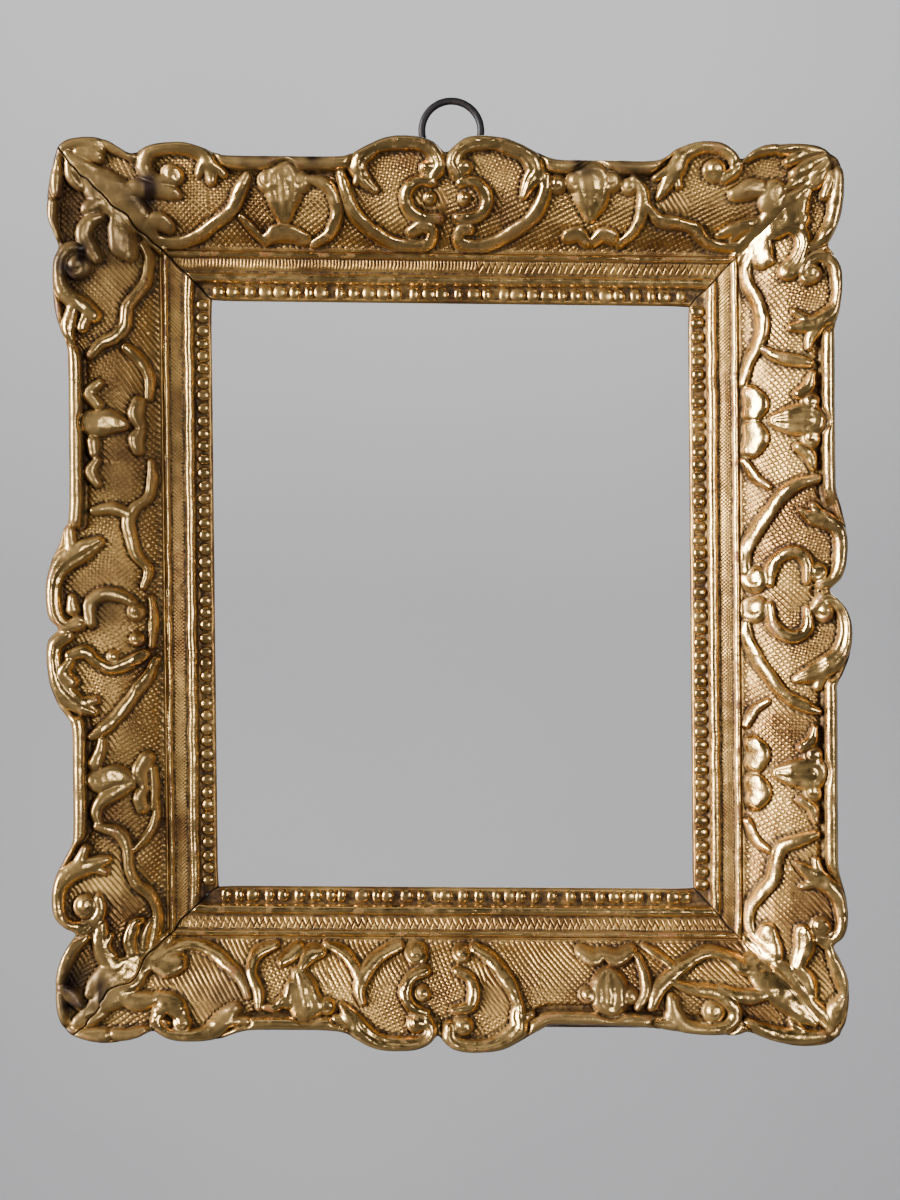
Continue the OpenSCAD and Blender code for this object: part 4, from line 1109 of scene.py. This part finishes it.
def make_grime_group():
    """Patchy grime: a mask from 0, clean, to 1, dirty."""
    values = (("Vector", VECTOR, None), ("Patch", FLOAT, 40.0), ("Speck", FLOAT, 400.0),
              ("Amount", FLOAT, 0.5))
    group, given, result = new_group("grime", values, (("Mask", FLOAT),))
    patch = noise(group, given["Vector"], given["Patch"])
    speck = noise(group, given["Vector"], given["Speck"], 2.0)
    both = times(group, between(group, patch, 0.35, 0.7), between(group, speck, 0.35, 0.65))
    group.links.new(reckoned(group, "MULTIPLY", both, given["Amount"], True), result["Mask"])
    return group


def make_grain_group():
    """Planed old wood: its colour and the height of its grain."""
    values = (("Vector", VECTOR, None), ("Along", VECTOR, (1.0, 1.0, 1.0)),
              ("Light", COLOUR, WOOD_LIGHT), ("Dark", COLOUR, WOOD_DARK))
    group, given, result = new_group("wood grain", values, (("Colour", COLOUR), ("Height", FLOAT)))
    stretched = add_node(group, "ShaderNodeVectorMath", {0: given["Vector"], 1: given["Along"]},
                         operation="MULTIPLY").outputs[0]
    fibre = noise(group, stretched, 520.0, 4.0, 0.6)
    ring = noise(group, stretched, 90.0, 3.0, 0.5)
    stain = noise(group, given["Vector"], 18.0, 4.0, 0.6)
    streak = reckoned(group, "ADD", times(group, fibre, 0.45), times(group, ring, 0.55))
    wood = mixed(group, between(group, streak, 0.38, 0.62), given["Dark"], given["Light"])
    aged = mixed(group, between(group, stain, 0.45, 0.75, 0.0, 0.55), wood, given["Dark"])
    group.links.new(aged, result["Colour"])
    group.links.new(streak, result["Height"])
    return group


def make_leaf_group():
    """Water gilding over red bole: its colour, how metallic and how rough it is, and its fine height."""
    values = (("Vector", VECTOR, None), ("Hollow", FLOAT, 0.0), ("Proud", FLOAT, 0.0),
              ("Burnish", FLOAT, 0.0), ("Dirt And Shade", FLOAT, 0.0))
    results = (("Colour", COLOUR), ("Metal", FLOAT), ("Roughness", FLOAT), ("Height", FLOAT))
    group, given, result = new_group("gold leaf", values, results)
    vector = given["Vector"]
    patches = noise(group, vector, 38.0, 4.0, 0.6)
    specks = noise(group, vector, 520.0, 3.0, 0.6)
    wear = noise(group, vector, 130.0, 5.0, 0.65)
    leaf = mixed(group, between(group, patches, 0.36, 0.66), THIN_LEAF, FULL_LEAF)
    leaf = mixed(group, between(group, given["Burnish"], 0.0, 1.0, 0.0, 0.6), leaf, BURNISHED_LEAF)
    # Dirt and painted shade: the hollows and the darkening passed in mix the leaf towards a dark brown and
    # take away its shine
    deep = times(group, between(group, given["Hollow"], 0.07, 0.45, 0.0, 0.95),
                  between(group, specks, 0.3, 0.6, 0.5, 1.0))
    dirt_and_shade = reckoned(group, "MAXIMUM", deep, given["Dirt And Shade"])
    rubbed = times(group, between(group, given["Proud"], 0.35, 0.8), between(group, wear, 0.55, 0.63))
    bole_seen = reckoned(group, "MAXIMUM", times(group, rubbed, 0.85),
                       between(group, wear, 0.69, 0.74, 0.0, 0.75))
    toned = mixed(group, bole_seen, leaf, RED_BOLE)
    dirtied_and_shaded = mixed(group, dirt_and_shade, toned, DIRT_AND_SHADE_DARK)
    group.links.new(dirtied_and_shaded, result["Colour"])
    loss = reckoned(group, "ADD", times(group, dirt_and_shade, 0.45), times(group, bole_seen, 0.8))
    group.links.new(reckoned(group, "SUBTRACT", 1.0, loss, True), result["Metal"])
    matt = between(group, given["Burnish"], 0.0, 1.0, 0.34, 0.16)
    uneven = between(group, patches, 0.3, 0.7, -0.05, 0.07)
    dull = times(group, dirt_and_shade, 0.28)
    rough = reckoned(group, "ADD", reckoned(group, "ADD", matt, uneven), dull, True)
    group.links.new(rough, result["Roughness"])
    lumps = reckoned(group, "ADD", times(group, wear, 0.6), times(group, specks, 0.25))
    group.links.new(lumps, result["Height"])
    return group


GRIME = make_grime_group()
GRAIN = make_grain_group()
LEAF = make_leaf_group()


def new_material(name):
    material = bpy.data.materials.new(name)
    material.use_nodes = True
    tree = material.node_tree
    tree.nodes.clear()
    shader = tree.nodes.new("ShaderNodeBsdfPrincipled")
    output = tree.nodes.new("ShaderNodeOutputMaterial")
    tree.links.new(shader.outputs[0], output.inputs["Surface"])
    place = tree.nodes.new("ShaderNodeTexCoord").outputs["Object"]
    return material, tree, shader, place


def use_group(tree, group, inputs):
    """The outputs of a shared group, with these inputs."""
    return add_node(tree, "ShaderNodeGroup", inputs, node_tree=group).outputs


def bump(tree, shader, height, depth):
    node = add_node(tree, "ShaderNodeBump", {"Height": height, "Distance": depth, "Strength": 1.0})
    tree.links.new(node.outputs[0], shader.inputs["Normal"])


def on_surface(tree, name):
    """A value kept on the mesh's points."""
    return add_node(tree, "ShaderNodeAttribute", {}, attribute_name=name).outputs["Fac"]


def gilt_finish(name, along):
    """Gold leaf on the face, an ochre wash round the side and bare wood behind."""
    material, tree, shader, place = new_material(name)
    grime = use_group(tree, GRIME, {"Vector": place, "Patch": 55.0, "Speck": 260.0, "Amount": 0.55})
    # The grime patches, the dark spots and the painted shade along the rim together darken the leaf
    dark = reckoned(tree, "MAXIMUM", grime["Mask"], on_surface(tree, "darkening"))
    leaf = use_group(tree, LEAF, {"Vector": place, "Hollow": on_surface(tree, "hollow"), "Dirt And Shade": dark,
                                  "Proud": on_surface(tree, "proud"), "Burnish": on_surface(tree, "burnish")})
    wood = use_group(tree, GRAIN, {"Vector": place, "Along": along})
    bare = on_surface(tree, "bare")
    side = on_surface(tree, "side")
    crack = on_surface(tree, "crack")
    wash = mixed(tree, between(tree, noise(tree, place, 90.0, 4.0), 0.4, 0.65), WASH_PALE, WASH_DARK)
    face = mixed(tree, times(tree, side, 0.8), leaf["Colour"], wash)
    face = mixed(tree, bare, face, wood["Colour"])
    face = mixed(tree, between(tree, crack, 0.25, 0.7), face, CRACK_DARK)
    tree.links.new(face, shader.inputs["Base Color"])
    not_metal = reckoned(tree, "MAXIMUM", reckoned(tree, "MAXIMUM", bare, crack), times(tree, side, 0.7))
    metal = reckoned(tree, "SUBTRACT", leaf["Metal"], not_metal, True)
    tree.links.new(metal, shader.inputs["Metallic"])
    rough = reckoned(tree, "ADD", leaf["Roughness"], times(tree, not_metal, 0.35), True)
    tree.links.new(rough, shader.inputs["Roughness"])
    height = reckoned(tree, "ADD", leaf["Height"], times(tree, times(tree, wood["Height"], bare), 0.8))
    bump(tree, shader, height, 0.00035)
    return material


def wood_finish(name, along):
    """Bare, darkened wood."""
    material, tree, shader, place = new_material(name)
    wood = use_group(tree, GRAIN, {"Vector": place, "Along": along, "Light": KEY_LIGHT})
    grime = use_group(tree, GRIME, {"Vector": place, "Patch": 70.0, "Speck": 300.0, "Amount": 0.6})
    tree.links.new(mixed(tree, grime["Mask"], wood["Colour"], KEY_DIRT), shader.inputs["Base Color"])
    tree.links.new(between(tree, wood["Height"], 0.3, 0.7, 0.78, 0.62), shader.inputs["Roughness"])
    bump(tree, shader, wood["Height"], 0.0004)
    return material


def metal_finish(name, clean, tarnish, rough, patch, amount, shine):
    """Old metal: clean where it is rubbed, tarnished in patches, with a little surface pitting."""
    material, tree, shader, place = new_material(name)
    grime = use_group(tree, GRIME, {"Vector": place, "Patch": patch, "Speck": patch * 5, "Amount": amount})
    tone = mixed(tree, grime["Mask"], clean, tarnish)
    tree.links.new(tone, shader.inputs["Base Color"])
    tree.links.new(between(tree, grime["Mask"], 0.0, 1.0, shine, 0.2 * shine), shader.inputs["Metallic"])
    tree.links.new(between(tree, grime["Mask"], 0.0, 0.8, rough, rough + 0.3), shader.inputs["Roughness"])
    bump(tree, shader, noise(tree, place, patch * 9, 4.0), 0.00012)
    return material


# ---- the pieces ----

gilt_lying = gilt_finish("gilt_rails", (0.06, 1.0, 1.0))
gilt_standing = gilt_finish("gilt_stiles", (1.0, 1.0, 0.06))
key_wood = wood_finish("key_wood", (0.25, 1.0, 0.25))
ring_iron = metal_finish("blackened_iron", colour(0.011, 0.011, 0.013), colour(0.030, 0.013, 0.008),
                         0.48, 120.0, 0.8, 0.5)
screw_steel = metal_finish("dark_steel", colour(0.20, 0.19, 0.18), colour(0.07, 0.035, 0.02),
                           0.38, 300.0, 0.9, 1.0)
old_brass = metal_finish("old_brass", colour(0.62, 0.42, 0.17), colour(0.16, 0.095, 0.035),
                         0.32, 160.0, 0.8, 1.0)

strokes = drawn_strokes()
bead_tree = bead_row_tree()
# Each rail's beads: count, length, how far they stray, least and most size, and seed
BEADS = {
    "top": (32, 7.6, 0.2, (0.62, 0.85, 0.92), (1.12, 1.1, 1.08), 11),
    "right": (46, 6.0, 0.08, (0.88, 0.9, 0.92), (1.08, 1.1, 1.05), 12),
    "bottom": (32, 7.6, 0.22, (0.55, 0.85, 0.9), (1.1, 1.15, 1.05), 13),
    "left": (46, 6.0, 0.08, (0.88, 0.9, 0.92), (1.08, 1.1, 1.05), 14),
}
for rail in RAIL_NAMES:
    gilt = gilt_lying if rail in ("top", "bottom") else gilt_standing
    carving = rail_carving(rail, strokes, gilt)
    moulding = rail_moulding(rail, gilt)
    beads = rail_beads(rail, bead_tree, *BEADS[rail], gilt)
    for piece in (carving, moulding, beads):
        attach(piece, "frame")
        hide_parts(f"{rail}_rail")

# The finish of the other parts, by the first word of their names
FINISHES = {"key": key_wood, "hanger": ring_iron, "hanging": ring_iron, "strap": screw_steel,
            "turn": old_brass, "pivot": old_brass}
for name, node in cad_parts.items():
    finish = FINISHES.get(name.split("_")[0])
    if finish:
        node.data.materials.clear()
        node.data.materials.append(finish)


# ---- stage and light ----

# The room round the frame, in metres: the drop to its floor, the flat floor, its curve and its wall's top
FLOOR_DROP = 1.25
FLAT_FLOOR = 2.2
COVE_CURVE = 1.2
WALL_TOP = 4.6


def add_cove():
    """A pale round floor that curves up into a plain wall, well clear of the frame all round."""
    floor_z = CENTRE_Z - FLOOR_DROP
    profile = [(0.02, floor_z), (1.0, floor_z), (FLAT_FLOOR, floor_z)]
    for step in range(1, 13):
        angle = math.pi / 2 * step / 12
        out = FLAT_FLOOR + COVE_CURVE * math.sin(angle)
        profile.append((out, floor_z + COVE_CURVE * (1 - math.cos(angle))))
    profile.append((FLAT_FLOOR + COVE_CURVE, floor_z + WALL_TOP))
    count = 96
    angles = [2 * math.pi * k / count for k in range(count)]
    points = [(radius * math.cos(angle), radius * math.sin(angle), z)
              for radius, z in profile for angle in angles]
    faces = [tuple(range(count))]
    for row in range(0, (len(profile) - 1) * count, count):
        for k in range(count):
            right = (k + 1) % count
            faces.append((row + k, row + count + k, row + count + right, row + right))
    mesh = bpy.data.meshes.new("cove")
    mesh.from_pydata(points, [], faces)
    mesh.polygons.foreach_set("use_smooth", [True] * len(faces))
    material, tree, shader, place = new_material("pale_cove")
    tone = between(tree, noise(tree, place, 0.8, 2.0), 0.3, 0.7)
    grey = mixed(tree, tone, colour(0.50, 0.50, 0.515), colour(0.54, 0.54, 0.55))
    tree.links.new(grey, shader.inputs["Base Color"])
    shader.inputs["Roughness"].default_value = 0.9
    mesh.materials.append(material)
    cove = add_to_scene("cove", mesh)


def add_soft_light(name, place, aim, width, height, power, spread, tint=(1.0, 1.0, 1.0)):
    """A soft oblong light: its size in metres, its power in watts and how far it spreads in degrees."""
    data = bpy.data.lights.new(name, "AREA")
    data.spread = math.radians(spread)
    data.shape = "RECTANGLE"
    data.size = width
    data.size_y = height
    data.energy = power
    data.color = tint
    light = add_to_scene(name, data)
    light.location = place
    light.rotation_euler = turned_to(aim, place)


add_cove()
middle = (CENTRE_X, BACK_Y, CENTRE_Z)
add_soft_light("window", (-1.7, -0.75, CENTRE_Z + 0.3), middle, 0.7, 1.3, 18.5, 50, (1.0, 0.98, 0.95))
add_soft_light("room", (0.9, -1.6, CENTRE_Z + 0.15), middle, 0.6, 0.6, 1.7, 50)
add_soft_light("above", (-0.2, -0.5, CENTRE_Z + 1.6), middle, 1.2, 0.8, 0.22, 60)
add_soft_light("behind", (0.8, 2.0, CENTRE_Z + 0.9), middle, 1.8, 1.4, 6.0, 60)
add_soft_light("wall wash", (0.0, 1.6, CENTRE_Z + 2.2), (0.0, 3.3, CENTRE_Z + 0.1), 2.6, 1.0, 50.0, 110)
world = bpy.data.worlds.new("room light")
world.use_nodes = True
world.node_tree.nodes["Background"].inputs["Color"].default_value = (0.80, 0.82, 0.86, 1.0)
world.node_tree.nodes["Background"].inputs["Strength"].default_value = 0.06
bpy.context.scene.world = world
